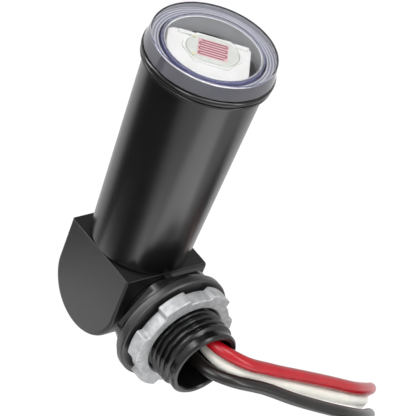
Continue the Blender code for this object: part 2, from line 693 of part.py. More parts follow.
def make_nipple(parts, cutters, surface):
    """The half-inch nipple: a neck, a hexagonal flange, a washer face and the threaded end."""
    end = NIPPLE_REACH
    nipple = turned("nipple", parts, [
        (0, end),
        (NIPPLE_END_RADIUS, end),
        (THREAD_RADIUS, end - NIPPLE_END_CHAMFER),
        (THREAD_RADIUS, HEX_FRONT_X + WASHER_FACE_THICKNESS),
        (WASHER_FACE_RADIUS, HEX_FRONT_X + WASHER_FACE_THICKNESS),
        (WASHER_FACE_RADIUS, HEX_FRONT_X - HEX_LAP),
        (NECK_RADIUS, HEX_FRONT_X - HEX_LAP),
        (NECK_RADIUS, NIPPLE_BACK_X),
        (0, NIPPLE_BACK_X),
    ], surface, about_x(), closed=False)
    middle = (HEX_FRONT_X + HEX_BACK_X) / 2
    frame = Matrix.Translation(mm(middle, 0, 0)) @ about_x() @ Matrix.Rotation(math.pi, 4, "Z")
    flange = flat("nipple_hex", cutters, hex_outline(), HEX_THICKNESS, surface, frame)
    combine(nipple, flange, "UNION")
    bore = turned("nipple_bore", cutters, [
        (0, end + OVERCUT),
        (NIPPLE_BORE + NIPPLE_MOUTH_EDGE, end + OVERCUT),
        (NIPPLE_BORE + NIPPLE_MOUTH_EDGE, end),
        (NIPPLE_BORE, end - NIPPLE_MOUTH_EDGE),
        (NIPPLE_BORE, NIPPLE_BACK_X - OVERCUT),
        (0, NIPPLE_BACK_X - OVERCUT),
    ], surface, about_x(), closed=False)
    combine(nipple, bore, "DIFFERENCE")


def make_gasket(parts, surface):
    """The rubber washer behind the panel, which a ring round its front face seals against.

    The ring starts outside the locknut's notches. The face is relieved inside it.
    """
    inner = THREAD_CLEAR_RADIUS
    ring = LOCKNUT_ROOT_RADIUS + GAP
    profile = [(inner, -GASKET_RELIEF), (ring - GASKET_RELIEF, -GASKET_RELIEF), (ring, 0)]
    profile += arc((GASKET_RADIUS - GASKET_EDGE, -GASKET_EDGE), GASKET_EDGE, 90, 0, 3)
    profile += arc((GASKET_RADIUS - GASKET_EDGE, -GASKET_THICKNESS + GASKET_EDGE),
                   GASKET_EDGE, 0, -90, 3)
    profile.append((inner, -GASKET_THICKNESS))
    turned("gasket", parts, profile, surface, about_x())


def locknut_outline():
    """The locknut's rim seen along its axis: lobes at the tip radius, notches at the root."""
    pitch = 360 / LOCKNUT_LOBES
    half = LOCKNUT_LOBE_ANGLE / 2
    outline = []
    for i in range(LOCKNUT_LOBES):
        middle = LOCKNUT_FIRST_LOBE + pitch * i
        outline += arc((0, 0), LOCKNUT_TIP_RADIUS, middle - half, middle + half, 5)
        outline += arc((0, 0), LOCKNUT_ROOT_RADIUS, middle + half + LOCKNUT_FLANK_ANGLE,
                       middle + pitch - half - LOCKNUT_FLANK_ANGLE, 2)
    return outline


def make_locknut(parts, cutters, surface):
    """The lobed conduit locknut on the nipple."""
    middle = LOCKNUT_BACK_X + LOCKNUT_THICKNESS / 2
    frame = Matrix.Translation(mm(middle, 0, 0)) @ yz_frame()
    locknut = flat("locknut", parts, locknut_outline(), LOCKNUT_THICKNESS, surface, frame)
    soften(locknut, LOCKNUT_EDGE, 1)
    back = LOCKNUT_BACK_X - OVERCUT
    front = LOCKNUT_FRONT_X + OVERCUT
    bore = turned("locknut_bore", cutters, [
        (0, front), (THREAD_CLEAR_RADIUS, front), (THREAD_CLEAR_RADIUS, back), (0, back),
    ], surface, about_x(), closed=False)
    combine(locknut, bore, "DIFFERENCE")


def yz_frame():
    """The frame of an outline drawn in the row's Y and Z, facing +X."""
    return Matrix.Rotation(math.radians(90), 4, "Z") @ Matrix.Rotation(math.radians(90), 4, "X")


def on_board(name, parts, size, spot, surface, edge):
    """A box-shaped component on the board: size along, out and up, centred on its spot."""
    along, z = spot
    out = COMPONENT_FACE + size[1] / 2
    return block(name, parts, size, (along, out, z), surface, board_frame(), edge)


def make_board(parts, surface):
    """The circuit board that stands in the tube's rails."""
    height = BOARD_TOP_Z - BOARD_FOOT_Z
    middle = (BOARD_TOP_Z + BOARD_FOOT_Z) / 2
    block("circuit_board", parts, (BOARD_WIDTH, BOARD_THICKNESS, height),
          (0, BOARD_OFFSET, middle), surface, board_frame())


def standing_cylinder(name, parts, profile, spot, radius, surface):
    """A turned component that stands along the tube, touching the board's side with its wall."""
    along, z = spot
    x, y, _ = board_point(along, COMPONENT_FACE + radius, 0)
    frame = Matrix.Translation(mm(x, y, z))
    return turned(name, parts, profile, surface, frame, COARSE, closed=False)


def make_components(parts, surfaces):
    """What the board carries: relay, capacitors, rectifier, varistor and small parts."""
    on_board("relay", parts, RELAY_SIZE, RELAY_PLACE, surfaces["relay"], RELAY_EDGE)
    on_board("film_capacitor", parts, FILM_CAPACITOR_SIZE, FILM_CAPACITOR_PLACE,
             surfaces["film"], FILM_CAPACITOR_EDGE)
    on_board("bridge_rectifier", parts, RECTIFIER_SIZE, RECTIFIER_PLACE,
             surfaces["epoxy"], RECTIFIER_EDGE)

    half = FILTER_CAPACITOR_LENGTH / 2
    radius = FILTER_CAPACITOR_RADIUS
    groove = FILTER_CAPACITOR_GROOVE
    standing_cylinder("filter_capacitor", parts, [
        (0, half), (radius - groove, half), (radius, half - groove), (radius, groove * 6 - half),
        (radius - groove, groove * 5 - half), (radius, groove * 4 - half),
        (radius, groove - half), (radius - groove, -half), (0, -half),
    ], FILTER_CAPACITOR_PLACE, radius, surfaces["sleeve"])

    along, z = VARISTOR_PLACE
    half = VARISTOR_THICKNESS / 2
    edge = VARISTOR_EDGE
    x, y, _ = board_point(along, COMPONENT_FACE + half, 0)
    frame = about_z(x, y, BOARD_TURN) @ Matrix.Translation(mm(0, 0, z))
    frame = frame @ Matrix.Rotation(math.radians(90), 4, "X")
    profile = [(0, half)] + arc((VARISTOR_RADIUS - edge, half - edge), edge, 90, 0, 2)
    profile += arc((VARISTOR_RADIUS - edge, edge - half), edge, 0, -90, 2) + [(0, -half)]
    turned("surge_varistor", parts, profile, surfaces["varistor"], frame, COARSE, closed=False)

    half = RESISTOR_LENGTH / 2
    cap = RESISTOR_LENGTH / 5
    for name, spot in RESISTOR_PLACES.items():
        standing_cylinder(name, parts, [
            (0, half), (RESISTOR_WAIST, half), (RESISTOR_RADIUS, half - cap / 3),
            (RESISTOR_RADIUS, half - cap), (RESISTOR_WAIST, half - cap * 4 / 3),
            (RESISTOR_WAIST, cap * 4 / 3 - half), (RESISTOR_RADIUS, cap - half),
            (RESISTOR_RADIUS, cap / 3 - half), (RESISTOR_WAIST, -half), (0, -half),
        ], spot, RESISTOR_RADIUS, surfaces["resistor"])

    half = ZENER_LENGTH / 2
    standing_cylinder("zener_diode", parts, [
        (0, half), (ZENER_RADIUS, half - ZENER_EDGE), (ZENER_RADIUS, ZENER_EDGE - half),
        (0, -half),
    ], ZENER_PLACE, ZENER_RADIUS, surfaces["glass"])

    along, z = TRANSISTOR_PLACE
    spread = math.degrees(math.acos(TRANSISTOR_FLAT / TRANSISTOR_RADIUS))
    outline = arc((0, 0), TRANSISTOR_RADIUS, -90 + spread, 270 - spread, 12)
    x, y, _ = board_point(along, COMPONENT_FACE + TRANSISTOR_FLAT, 0)
    frame = about_z(x, y, BOARD_TURN + 180) @ Matrix.Translation(mm(0, 0, z))
    flat("transistor", parts, outline, TRANSISTOR_HEIGHT, surfaces["epoxy"], frame)


def carrier_outline():
    """The carrier's plan on the board's axes: a bowed far side and cut corners."""
    half = CARRIER_HALF_LENGTH
    corner = CARRIER_CORNER
    far = -CARRIER_FAR_SIDE
    near = CARRIER_NEAR_SIDE
    bow = CARRIER_FAR_BOW
    return [(-half, far + corner), (corner - half, far + bow), (0, far), (half - corner, far + bow),
            (half, far + corner), (half, near - 2 * corner), (half - corner, near),
            (corner - half, near), (-half, near - 2 * corner)]


def cell_outline(grow=0.0):
    """The cell's plan: an oval with two straight sides."""
    radius = CELL_WIDTH / 2 + grow
    reach = (CELL_LENGTH - CELL_WIDTH) / 2
    return arc((reach, 0), radius, -90, 90, 12) + arc((-reach, 0), radius, 90, 270, 12)


def make_carrier(parts, cutters, surface):
    """The white plate that holds the light cell above the board, with tabs, legs and a pocket."""
    middle = (CARRIER_TOP_Z + CARRIER_FOOT_Z) / 2
    frame = board_frame() @ Matrix.Translation(mm(0, 0, middle))
    carrier = flat("cell_carrier", parts, carrier_outline(), CARRIER_THICKNESS, surface, frame)
    fix_mirrored(carrier)
    tab_along, tab_out, tab_up = CARRIER_TAB_SIZE
    leg_along, leg_out, leg_down = CARRIER_LEG_SIZE
    lap = CARRIER_THICKNESS / 2
    for side in (-1, 1):
        tab = block(f"carrier_tab_{side}", cutters, (tab_along, tab_out, tab_up + lap),
                    (side * CARRIER_TAB_PLACE, tab_out - CARRIER_FAR_SIDE + CARRIER_FAR_BOW,
                     CARRIER_TOP_Z + (tab_up - lap) / 2), surface, board_frame())
        combine(carrier, tab, "UNION")
        leg = block(f"carrier_leg_{side}", cutters, (leg_along, leg_out, leg_down + lap),
                    (side * CARRIER_LEG_PLACE, COMPONENT_FACE + leg_out / 2,
                     CARRIER_FOOT_Z + (lap - leg_down) / 2), surface, board_frame())
        combine(carrier, leg, "UNION")
    pocket_height = 2 * CELL_POCKET_DEPTH
    pocket_frame = board_frame() @ Matrix.Translation(mm(0, CELL_OFFSET, CARRIER_TOP_Z))
    pocket = flat("carrier_pocket", cutters, cell_outline(GAP), pocket_height, surface,
                  pocket_frame)
    fix_mirrored(pocket)
    combine(carrier, pocket, "DIFFERENCE")
    for side in (-1, 1):
        x, y, _ = board_point(side * CELL_LEAD_PLACE, CELL_OFFSET, 0)
        hole = turned(f"carrier_hole_{side}", cutters, [
            (0, CARRIER_TOP_Z), (CELL_LEAD_HOLE, CARRIER_TOP_Z),
            (CELL_LEAD_HOLE, CARRIER_FOOT_Z - OVERCUT), (0, CARRIER_FOOT_Z - OVERCUT),
        ], surface, about_z(x, y), 12, closed=False)
        combine(carrier, hole, "DIFFERENCE")


def make_light_cell(parts, surfaces):
    """The light cell's oval body, and its two wires down to the board."""
    middle = (CELL_TOP_Z + CELL_FOOT_Z) / 2
    frame = board_frame() @ Matrix.Translation(mm(0, CELL_OFFSET, middle))
    cell = flat("light_cell", parts, cell_outline(), CELL_THICKNESS, surfaces["ceramic"], frame)
    fix_mirrored(cell)
    side_out = COMPONENT_FACE + CELL_LEAD_RADIUS
    for side, name in ((-1, "cell_lead_left"), (1, "cell_lead_right")):
        along = side * CELL_LEAD_PLACE
        start = CELL_FOOT_Z - GAP
        below = CARRIER_FOOT_Z - CELL_LEAD_BEND
        route = [board_point(along, CELL_OFFSET, start), board_point(along, CELL_OFFSET, below),
                 board_point(along, side_out, below - CELL_LEAD_BEND),
                 board_point(along, side_out, start - CELL_LEAD_DROP)]
        wire(name, parts, route, CELL_LEAD_RADIUS, surfaces["tinned"])


def make_leads(parts, surfaces):
    """The three insulated leads and the bare end of each conductor."""
    for name, route in LEAD_ROUTES.items():
        points = smooth_route(route, LEAD_STEP)
        wire(name, parts, points, LEAD_RADIUS, surfaces[name])
        end = points[-1]
        direction = (points[-1] - points[-2]).normalized()
        core = [end + direction * GAP, end + direction * (GAP + CORE_LENGTH)]
        wire(name.replace("lead", "lead_core"), parts, core, CORE_RADIUS, surfaces["copper"])


def main():
    clear_scene()
    parts = new_collection("photocell_switch")
    cutters = new_collection("cutters")
    black = material("black_plastic", (0.035, 0.035, 0.037), 0.38)
    surfaces = {
        "relay": material("relay_case", (0.06, 0.16, 0.42), 0.4),
        "film": material("film_coating", (0.55, 0.38, 0.08), 0.35),
        "epoxy": material("black_epoxy", (0.02, 0.02, 0.02), 0.5),
        "sleeve": material("capacitor_sleeve", (0.03, 0.05, 0.09), 0.35),
        "varistor": material("varistor_coating", (0.05, 0.14, 0.35), 0.35),
        "resistor": material("resistor_lacquer", (0.62, 0.5, 0.34), 0.4),
        "glass": material("diode_glass", (0.5, 0.16, 0.05), 0.15),
        "ceramic": material("cell_ceramic", (0.85, 0.84, 0.8), 0.5),
        "tinned": material("tinned_wire", (0.7, 0.7, 0.7), 0.3, 1.0),
        "copper": material("bare_copper", (0.75, 0.4, 0.22), 0.35, 1.0),
        "red_lead": material("red_insulation", (0.6, 0.02, 0.04), 0.4),
        "white_lead": material("white_insulation", (0.8, 0.8, 0.75), 0.45),
        "black_lead": material("black_insulation", (0.03, 0.025, 0.025), 0.4),
    }
    make_elbow(parts, cutters, black)
    make_tube(parts, cutters, material("black_tube", (0.035, 0.035, 0.037), 0.32))
    make_seal(parts, material("seal_rubber", (0.02, 0.02, 0.02), 0.6))
    make_lens(parts, material("clear_lens", (0.85, 0.86, 0.95), 0.05, alpha=0.35))
    make_nipple(parts, cutters, black)
    make_gasket(parts, material("gasket_rubber", (0.04, 0.04, 0.04), 0.7))
    make_locknut(parts, cutters, material("zinc_casting", (0.55, 0.56, 0.57), 0.42, 1.0))
    make_board(parts, material("board_laminate", (0.05, 0.25, 0.12), 0.5))
    make_components(parts, surfaces)
    make_carrier(parts, cutters, material("white_carrier", (0.85, 0.85, 0.84), 0.45))
    make_light_cell(parts, surfaces)
    make_leads(parts, surfaces)


main()
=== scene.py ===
"""The looks of a stem-mounted photocell switch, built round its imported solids.

The nipple runs along +X and the tube stands along +Z. The origin is the centre of the gasket's
seating face. Sizes in the classes below are millimetres, and `MM` turns them into metres.
"""

import json
import logging
import math
from dataclasses import dataclass
from enum import Enum
from functools import cache
from typing import Any, Callable, Sequence

import bpy
from mathutils import Matrix, Vector

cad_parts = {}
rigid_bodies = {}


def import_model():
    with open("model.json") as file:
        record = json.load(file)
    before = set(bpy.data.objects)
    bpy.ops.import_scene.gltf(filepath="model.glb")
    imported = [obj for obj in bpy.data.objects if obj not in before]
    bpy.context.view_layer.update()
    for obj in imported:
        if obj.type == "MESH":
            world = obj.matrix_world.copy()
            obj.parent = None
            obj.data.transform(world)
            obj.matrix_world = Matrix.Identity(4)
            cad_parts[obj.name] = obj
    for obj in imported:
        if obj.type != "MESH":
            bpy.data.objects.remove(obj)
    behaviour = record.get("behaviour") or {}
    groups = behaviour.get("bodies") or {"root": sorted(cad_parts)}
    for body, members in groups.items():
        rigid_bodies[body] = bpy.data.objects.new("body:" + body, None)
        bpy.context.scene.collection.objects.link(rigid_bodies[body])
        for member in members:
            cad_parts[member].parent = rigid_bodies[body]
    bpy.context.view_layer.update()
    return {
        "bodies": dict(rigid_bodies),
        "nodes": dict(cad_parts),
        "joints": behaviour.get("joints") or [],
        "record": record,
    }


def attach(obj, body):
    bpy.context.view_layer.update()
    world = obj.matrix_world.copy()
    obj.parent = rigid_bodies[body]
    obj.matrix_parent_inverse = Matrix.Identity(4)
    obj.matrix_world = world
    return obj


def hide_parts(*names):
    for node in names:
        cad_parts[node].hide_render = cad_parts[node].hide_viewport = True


LOG = logging.getLogger("photocell_switch")

Point = tuple[float, float, float]
Ring = tuple[float, float]
Rgba = tuple[float, float, float, float]
Piece = bpy.types.Object
Material = bpy.types.Material
Tree = bpy.types.NodeTree
Node = bpy.types.Node
Socket = bpy.types.NodeSocket

MM = 0.001
ROUND = 144
BODY = "root"
TUBE_X = -21.6
BOARD_TURN = math.radians(50.0)
FILM = 0.1
OVERCUT = 6.0


class Axis(Enum):
    """What a turned piece's own axis lies on in the frame."""

    TUBE = "tube"
    NIPPLE = "nipple"


# Colour and shader helpers

def linear(colour: str) -> Rgba:
    """Turns an sRGB hex colour into Blender's linear one.

    Args:
        colour: Six hex digits, such as "c8192d".

    Returns:
        Red, green, blue and an alpha of 1.
    """
    values = []
    for start in (0, 2, 4):
        value = int(colour[start:start + 2], 16) / 255
        values.append(value / 12.92 if value <= 0.04045 else ((value + 0.055) / 1.055) ** 2.4)
    return (values[0], values[1], values[2], 1.0)


def add_node(tree: Tree, kind: str, inputs: dict[str | int, Any] | None = None,
             **settings: Any) -> Node:
    """Adds one shader node with its settings, input values and incoming links.

    Args:
        tree: The node tree that gets the node.
        kind: The node's Blender type name.
        inputs: Input names or numbers, each with a value or with the socket that feeds it.
        settings: The node's own attributes.

    Returns:
        The new node.
    """
    node = tree.nodes.new(kind)
    for name, value in settings.items():
        setattr(node, name, value)
    for name, value in (inputs or {}).items():
        if isinstance(value, Socket):
            tree.links.new(value, node.inputs[name])
        else:
            node.inputs[name].default_value = value
    return node


@dataclass(frozen=True)
class Finish:
    """A surface with patches of two near colours and a fine relief, both at a real scale.

    Attributes:
        name: The material's name.
        colour: sRGB hex of the surface.
        shade: sRGB hex of its darker patches.
        roughness: Roughness of the shader.
        grain: Size of the fine relief in mm.
        relief: Height of the fine relief in mm.
        mottle: Size of the colour patches in mm.
        metallic: How far it is bare metal, from 0 to 1.
        coat: Weight of a clear coat.
        ior: Index of refraction, where it isn't a metal.
    """

    name: str
    colour: str
    shade: str
    roughness: float
    grain: float
    relief: float
    mottle: float = 6.0
    metallic: float = 0.0
    coat: float = 0.0
    ior: float = 1.5

    def make(self) -> Material:
        """Builds the material on Object coordinates.

        Returns:
            The material.
        """
        material = bpy.data.materials.new(self.name)
        material.use_nodes = True
        tree = material.node_tree
        shader = tree.nodes["Principled BSDF"]
        for name, value in (("Roughness", self.roughness), ("Metallic", self.metallic),
                            ("Coat Weight", self.coat), ("IOR", self.ior)):
            shader.inputs[name].default_value = value
        place = add_node(tree, "ShaderNodeTexCoord").outputs["Object"]
        patches = add_node(tree, "ShaderNodeTexNoise",
                           {"Vector": place, "Scale": 1 / (self.mottle * MM), "Detail": 3.0})
        share = add_node(tree, "ShaderNodeMapRange",
                         {"Value": patches.outputs["Fac"], "From Min": 0.35, "From Max": 0.65})
        colour = add_node(tree, "ShaderNodeMix",
                          {0: share.outputs["Result"], 6: linear(self.shade),
                           7: linear(self.colour)}, data_type="RGBA")
        grain = add_node(tree, "ShaderNodeTexNoise",
                         {"Vector": place, "Scale": 1 / (self.grain * MM), "Detail": 2.0})
        bump = add_node(tree, "ShaderNodeBump",
                        {"Height": grain.outputs["Fac"], "Distance": self.relief * MM})
        tree.links.new(colour.outputs[2], shader.inputs["Base Color"])
        tree.links.new(bump.outputs["Normal"], shader.inputs["Normal"])
        self.add_marks(tree, shader, place)
        return material

    def add_marks(self, tree: Tree, shader: Node, place: Socket) -> None:
        """Adds nothing; a finish with marks of its own adds them here."""


@dataclass(frozen=True)
class CastMetal(Finish):
    """A die-cast satin metal, whose gloss changes in patches a few millimetres across."""

    def add_marks(self, tree: Tree, shader: Node, place: Socket) -> None:
        """Varies the roughness.

        Args:
            tree: The material's nodes.
            shader: Its Principled shader.
            place: Object coordinates.
        """
        patches = add_node(tree, "ShaderNodeTexNoise",
                           {"Vector": place, "Scale": 1 / (2.5 * MM), "Detail": 4.0})
        gloss = add_node(tree, "ShaderNodeMapRange",
                         {"Value": patches.outputs["Fac"], "From Min": 0.3, "From Max": 0.7,
                          "To Min": self.roughness - 0.08, "To Max": self.roughness + 0.1})
        tree.links.new(gloss.outputs["Result"], shader.inputs["Roughness"])


@dataclass(frozen=True)
class TurnedRingShadeFinish(Finish):
    """A surface with the rings that a lathe leaves in a mould, drawn as painted light and shade
    stripes in place of their relief.

    Attributes:
        pitch: How far apart the rings are, in mm.
    """

    pitch: float = 0.75

    def add_marks(self, tree: Tree, shader: Node, place: Socket) -> None:
        """Draws the rings round the tube's axis in the surface's two colours, as painted light
        and shade.

        Args:
            tree: The material's nodes.
            shader: Its Principled shader.
            place: Object coordinates.
        """
        centred = add_node(tree, "ShaderNodeMapping",
                           {"Vector": place, "Location": (-TUBE_X * MM, 0, 0)})
        rings = add_node(tree, "ShaderNodeTexWave",
                         {"Vector": centred.outputs[0], "Distortion": 0.0,
                          "Scale": math.tau / 20 / (self.pitch * MM)},
                         wave_type="RINGS", rings_direction="Z")
        colour = add_node(tree, "ShaderNodeMix",
                          {0: rings.outputs["Fac"], 6: linear(self.shade),
                           7: linear(self.colour)}, data_type="RGBA")
        tree.links.new(colour.outputs[2], shader.inputs["Base Color"])


@dataclass(frozen=True)
class ClearPlastic:
    """A clear moulded plastic with faint ripples.

    Attributes:
        name: The material's name.
        tint: sRGB hex of the light that passes.
        ior: Index of refraction.
        roughness: Roughness of its surface.
        ripple: Size of the moulding ripples in mm.
        relief: Height of the ripples in mm.
        density: How strongly the tint takes light, for each metre of the way.
    """

    name: str
    tint: str
    ior: float
    roughness: float
    ripple: float
    relief: float
    density: float

    def make(self) -> Material:
        """Builds the material: clear at its surface, tinted by the way through it.

        Returns:
            The material.
        """
        material = bpy.data.materials.new(self.name)
        material.use_nodes = True
        tree = material.node_tree
        shader = tree.nodes["Principled BSDF"]
        for name, value in (("Base Color", (1, 1, 1, 1)), ("Roughness", self.roughness),
                            ("IOR", self.ior), ("Transmission Weight", 1.0)):
            shader.inputs[name].default_value = value
        place = add_node(tree, "ShaderNodeTexCoord").outputs["Object"]
        ripple = add_node(tree, "ShaderNodeTexNoise",
                          {"Vector": place, "Scale": 1 / (self.ripple * MM), "Detail": 1.0})
        bump = add_node(tree, "ShaderNodeBump",
                        {"Height": ripple.outputs["Fac"], "Distance": self.relief * MM})
        tree.links.new(bump.outputs["Normal"], shader.inputs["Normal"])
        tint = add_node(tree, "ShaderNodeVolumeAbsorption",
                        {"Color": linear(self.tint), "Density": self.density})
        tree.links.new(tint.outputs[0], tree.nodes["Material Output"].inputs["Volume"])
        return material


# Polycarbonate from a spark-eroded mould: an even black that scatters a soft highlight
BODY_PLASTIC = Finish("textured_polycarbonate", "0f0f10", "0d0d0e", 0.42, 0.25, 0.01)
# The same plastic from a polished mould: long soft reflections down the tube
TUBE_PLASTIC = Finish("polished_polycarbonate", "0c0c0d", "0a0a0b", 0.27, 0.6, 0.003)
# Moulded nylon: darker than the body, with small bright glints on the thread's crests
NIPPLE_PLASTIC = Finish("moulded_nylon", "0d0d0e", "0a0a0b", 0.24, 0.4, 0.004, ior=1.4)
# Moulded rubber: black and satin
SEAL_RUBBER = Finish("moulded_rubber", "080808", "060606", 0.2, 0.3, 0.002, ior=1.45)
# Sheet rubber: dull, with a fine tooth
GASKET_RUBBER = Finish("sheet_rubber", "1e1e1e", "1a1a1a", 0.38, 0.2, 0.008)
# Zinc die casting under its own oxide: a pale grey that is dull on the flats, bright on the edges
ZINC = CastMetal("zinc_casting", "a6a7a8", "919294", 0.5, 0.45, 0.04, 1.4, metallic=0.4)
# Clear acrylic: colourless across the window, violet where the eye looks along the thick wall
LENS_ACRYLIC = ClearPlastic("clear_acrylic", "a8a8d8", 1.49, 0.02, 9.0, 0.01, 16.0)
# The same acrylic where the mould is spark-eroded: a pale grey that hides what is behind it
LENS_FROST = Finish("frosted_acrylic", "c6c6c8", "bebec1", 0.5, 0.15, 0.01)
# The rim's frosted foot, whose mould was turned: fine rings painted as light and shade stripes,
# drawn coarse enough to show
LENS_RING_LIGHT_AND_SHADE = TurnedRingShadeFinish("turned_acrylic_painted_light_and_shade", "efeff2", "9a9aa6", 0.45, 0.15, 0.01)
# Painted shade: a darker grey copy of the frosted side, put where it is seen through the thick
# rim
LENS_RIM_PAINTED_SHADE = Finish("painted_shade_acrylic", "4e4e57", "484851", 0.5, 0.15, 0.01)
# Painted shade and tint: a darker violet copy of the frosted wall of the hollow, coloured as it
# looks from outside through the thick acrylic
LENS_VIOLET_PAINTED_SHADE = Finish("violet_acrylic_painted_shade", "a6a6d2", "9e9eca", 0.5, 0.15, 0.01)
# White moulded ABS: an even satin white
CARRIER_ABS = Finish("white_abs", "efefec", "e8e8e4", 0.4, 0.3, 0.004)
# Fired ceramic under clear lacquer: a greenish white with a wet gloss
CELL_CERAMIC = Finish("lacquered_ceramic", "dcdfd6", "d3d7ce", 0.35, 0.2, 0.004, 1.5, coat=0.4)
# Sintered light-sensitive film: clay red, dull
CELL_TRACK = Finish("sintered_track", "a24c58", "98424e", 0.45, 0.15, 0.01, 1.0)
# Evaporated electrode film over ceramic: pale pink
CELL_GROUND = Finish("electrode_film", "e2bfc2", "dab4b8", 0.45, 0.2, 0.004, 1.0)
# A drop of clear glue that has yellowed over each wire's end
CELL_PAD = Finish("yellowed_glue", "e2dfb8", "dad6aa", 0.3, 0.2, 0.004, 0.6)
# Tinned wire and solder: bright and soft-edged
TINNED = Finish("tinned_copper", "c9c9c6", "b9b9b6", 0.28, 0.3, 0.006, 1.0, metallic=1.0)
# Extruded PVC insulation: smooth, with one long soft highlight
RED_PVC = Finish("red_pvc", "a00818", "940614", 0.3, 0.5, 0.006, 5.0, ior=1.4)
WHITE_PVC = Finish("white_pvc", "dcdbd2", "d3d2c9", 0.36, 0.5, 0.006, 5.0, ior=1.4)
BLACK_PVC = Finish("black_pvc", "151211", "110f0e", 0.28, 0.5, 0.006, 5.0, ior=1.4)
# Drawn copper strands: warm and bright
COPPER = Finish("drawn_copper", "d08a5e", "b87048", 0.3, 0.2, 0.006, 1.0, metallic=1.0)
# Solder mask over glass laminate: a glossy green
SOLDER_MASK = Finish("solder_mask", "1f6b3a", "195c31", 0.35, 0.4, 0.01, 3.0, coat=0.3)
# Moulded polyester case: an even blue
RELAY_CASE = Finish("moulded_polyester", "2b5fa8", "25569b", 0.4, 0.3, 0.006)
# Dipped resin: rounded, thick and glossy
FILM_DIP = Finish("yellow_resin_dip", "c9962c", "bd8a24", 0.3, 0.8, 0.02, coat=0.3)
VARISTOR_DIP = Finish("blue_resin_dip", "2c5a9e", "264f8e", 0.3, 0.8, 0.02, coat=0.3)
# Shrunk PVC sleeve: dark blue and smooth
SLEEVE = Finish("shrunk_sleeve", "1d2740", "182036", 0.3, 0.5, 0.006)
# Filled epoxy from a transfer mould: matt black
EPOXY = Finish("filled_epoxy", "1c1c1d", "161617", 0.5, 0.2, 0.008)
# Baked lacquer: tan, with a soft shine
LACQUER = Finish("baked_lacquer", "c9a877", "bd9a68", 0.4, 0.3, 0.01, 1.5)
# Sealed glass over a red-lead glass bead: amber and glossy
DIODE_GLASS = Finish("amber_glass", "c8642c", "b05424", 0.15, 0.5, 0.003, coat=0.6)

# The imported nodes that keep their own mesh, each with its finish
KEPT_NODES = {
    "circuit_board": SOLDER_MASK,
    "relay": RELAY_CASE,
    "film_capacitor": FILM_DIP,
    "filter_capacitor": SLEEVE,
    "bridge_rectifier": EPOXY,
    "surge_varistor": VARISTOR_DIP,
    "dropper_resistor": LACQUER,
    "bleed_resistor": LACQUER,
    "bias_resistor": LACQUER,
    "transistor": EPOXY,
    "zener_diode": DIODE_GLASS,
    "cell_lead_left": TINNED,
    "cell_lead_right": TINNED,
}


# Modelling helpers

def set_mode(mode: str) -> None:
    """Goes to Blender's EDIT or OBJECT mode."""
    bpy.ops.object.mode_set(mode=mode)


def deselect() -> None:
    """Leaves edit mode and selects nothing."""
    if bpy.context.object and bpy.context.object.mode != "OBJECT":
        set_mode("OBJECT")
    bpy.ops.object.select_all(action="DESELECT")


def activate(piece: Piece) -> None:
    """Makes one object the active and the only selected one."""
    deselect()
    piece.select_set(True)
    bpy.context.view_layer.objects.active = piece


def select_vertices(piece: Piece, wanted: Callable[[Vector], bool]) -> None:
    """Selects the vertices of a piece by their place, and leaves it in edit mode.

    Args:
        piece: The object.
        wanted: Tells from a vertex's place, in metres, whether it is selected.
    """
    activate(piece)
    set_mode("EDIT")
    bpy.ops.mesh.select_mode(type="VERT")
    bpy.ops.mesh.select_all(action="DESELECT")
    set_mode("OBJECT")
    for vertex in piece.data.vertices:
        vertex.select = wanted(vertex.co)
    set_mode("EDIT")


def name_new(name: str) -> Piece:
    """Names the object that an operator has just added or joined.

    Args:
        name: The piece's name.

    Returns:
        The object.
    """
    piece = bpy.context.object
    piece.name = name
    piece.data.name = name
    return piece


def apply_place(piece: Piece) -> Piece:
    """Puts an object's place and turn into its mesh, so that its origin is the frame's."""
    activate(piece)
    bpy.ops.object.transform_apply(location=True, rotation=True, scale=True)
    return piece


def finish_mesh(piece: Piece, angle: float = 30.0) -> Piece:
    """Merges doubles, points the faces outwards and shades the rounds smooth.

    Args:
        piece: The object.
        angle: Edges sharper than this, in degrees, stay sharp.

    Returns:
        The object.
    """
    activate(piece)
    set_mode("EDIT")
    bpy.ops.mesh.select_all(action="SELECT")
    bpy.ops.mesh.remove_doubles(threshold=0.000002)
    bpy.ops.mesh.normals_make_consistent(inside=False)
    set_mode("OBJECT")
    bpy.ops.object.shade_smooth_by_angle(angle=math.radians(angle))
    return piece


def apply_modifiers(piece: Piece) -> None:
    """Applies every modifier in order."""
    activate(piece)
    for modifier in list(piece.modifiers):
        bpy.ops.object.modifier_apply(modifier=modifier.name)


def keep_flats_flat(piece: Piece) -> None:
    """Weights the normals by face area, so that a fillet doesn't shade the flat beside it."""
    activate(piece)
    modifier = piece.modifiers.new("flats", "WEIGHTED_NORMAL")
    modifier.keep_sharp = True
    bpy.ops.object.modifier_apply(modifier=modifier.name)


def combine(piece: Piece, other: Piece, operation: str) -> None:
    """Joins another object to a piece or cuts it out, and removes the other.

    Args:
        piece: The object that stays.
        other: The object that is used up.
        operation: UNION or DIFFERENCE.
    """
    activate(piece)
    boolean = piece.modifiers.new(operation.title(), "BOOLEAN")
    boolean.operation = operation
    boolean.solver = "EXACT"
    boolean.object = other
    bpy.ops.object.modifier_apply(modifier=boolean.name)
    bpy.data.objects.remove(other, do_unlink=True)


def round_edges(piece: Piece, radius_at: Callable[[Vector, Vector], float],
                largest: float, segments: int = 5) -> None:
    """Rounds each edge to a radius of its own.

    Args:
        piece: The object.
        radius_at: Gives an edge's radius in mm from its two ends in mm.
        largest: The largest of those radii.
        segments: Steps across each round.
    """
    mesh = piece.data
    weights = mesh.attributes.new("bevel_weight_edge", "FLOAT", "EDGE")
    for edge, weight in zip(mesh.edges, weights.data):
        ends = [mesh.vertices[i].co / MM for i in edge.vertices]
        weight.value = radius_at(*ends) / largest
    bevel = piece.modifiers.new("Edges", "BEVEL")
    bevel.width = largest * MM
    bevel.segments = segments
    bevel.limit_method = "WEIGHT"
    apply_modifiers(piece)


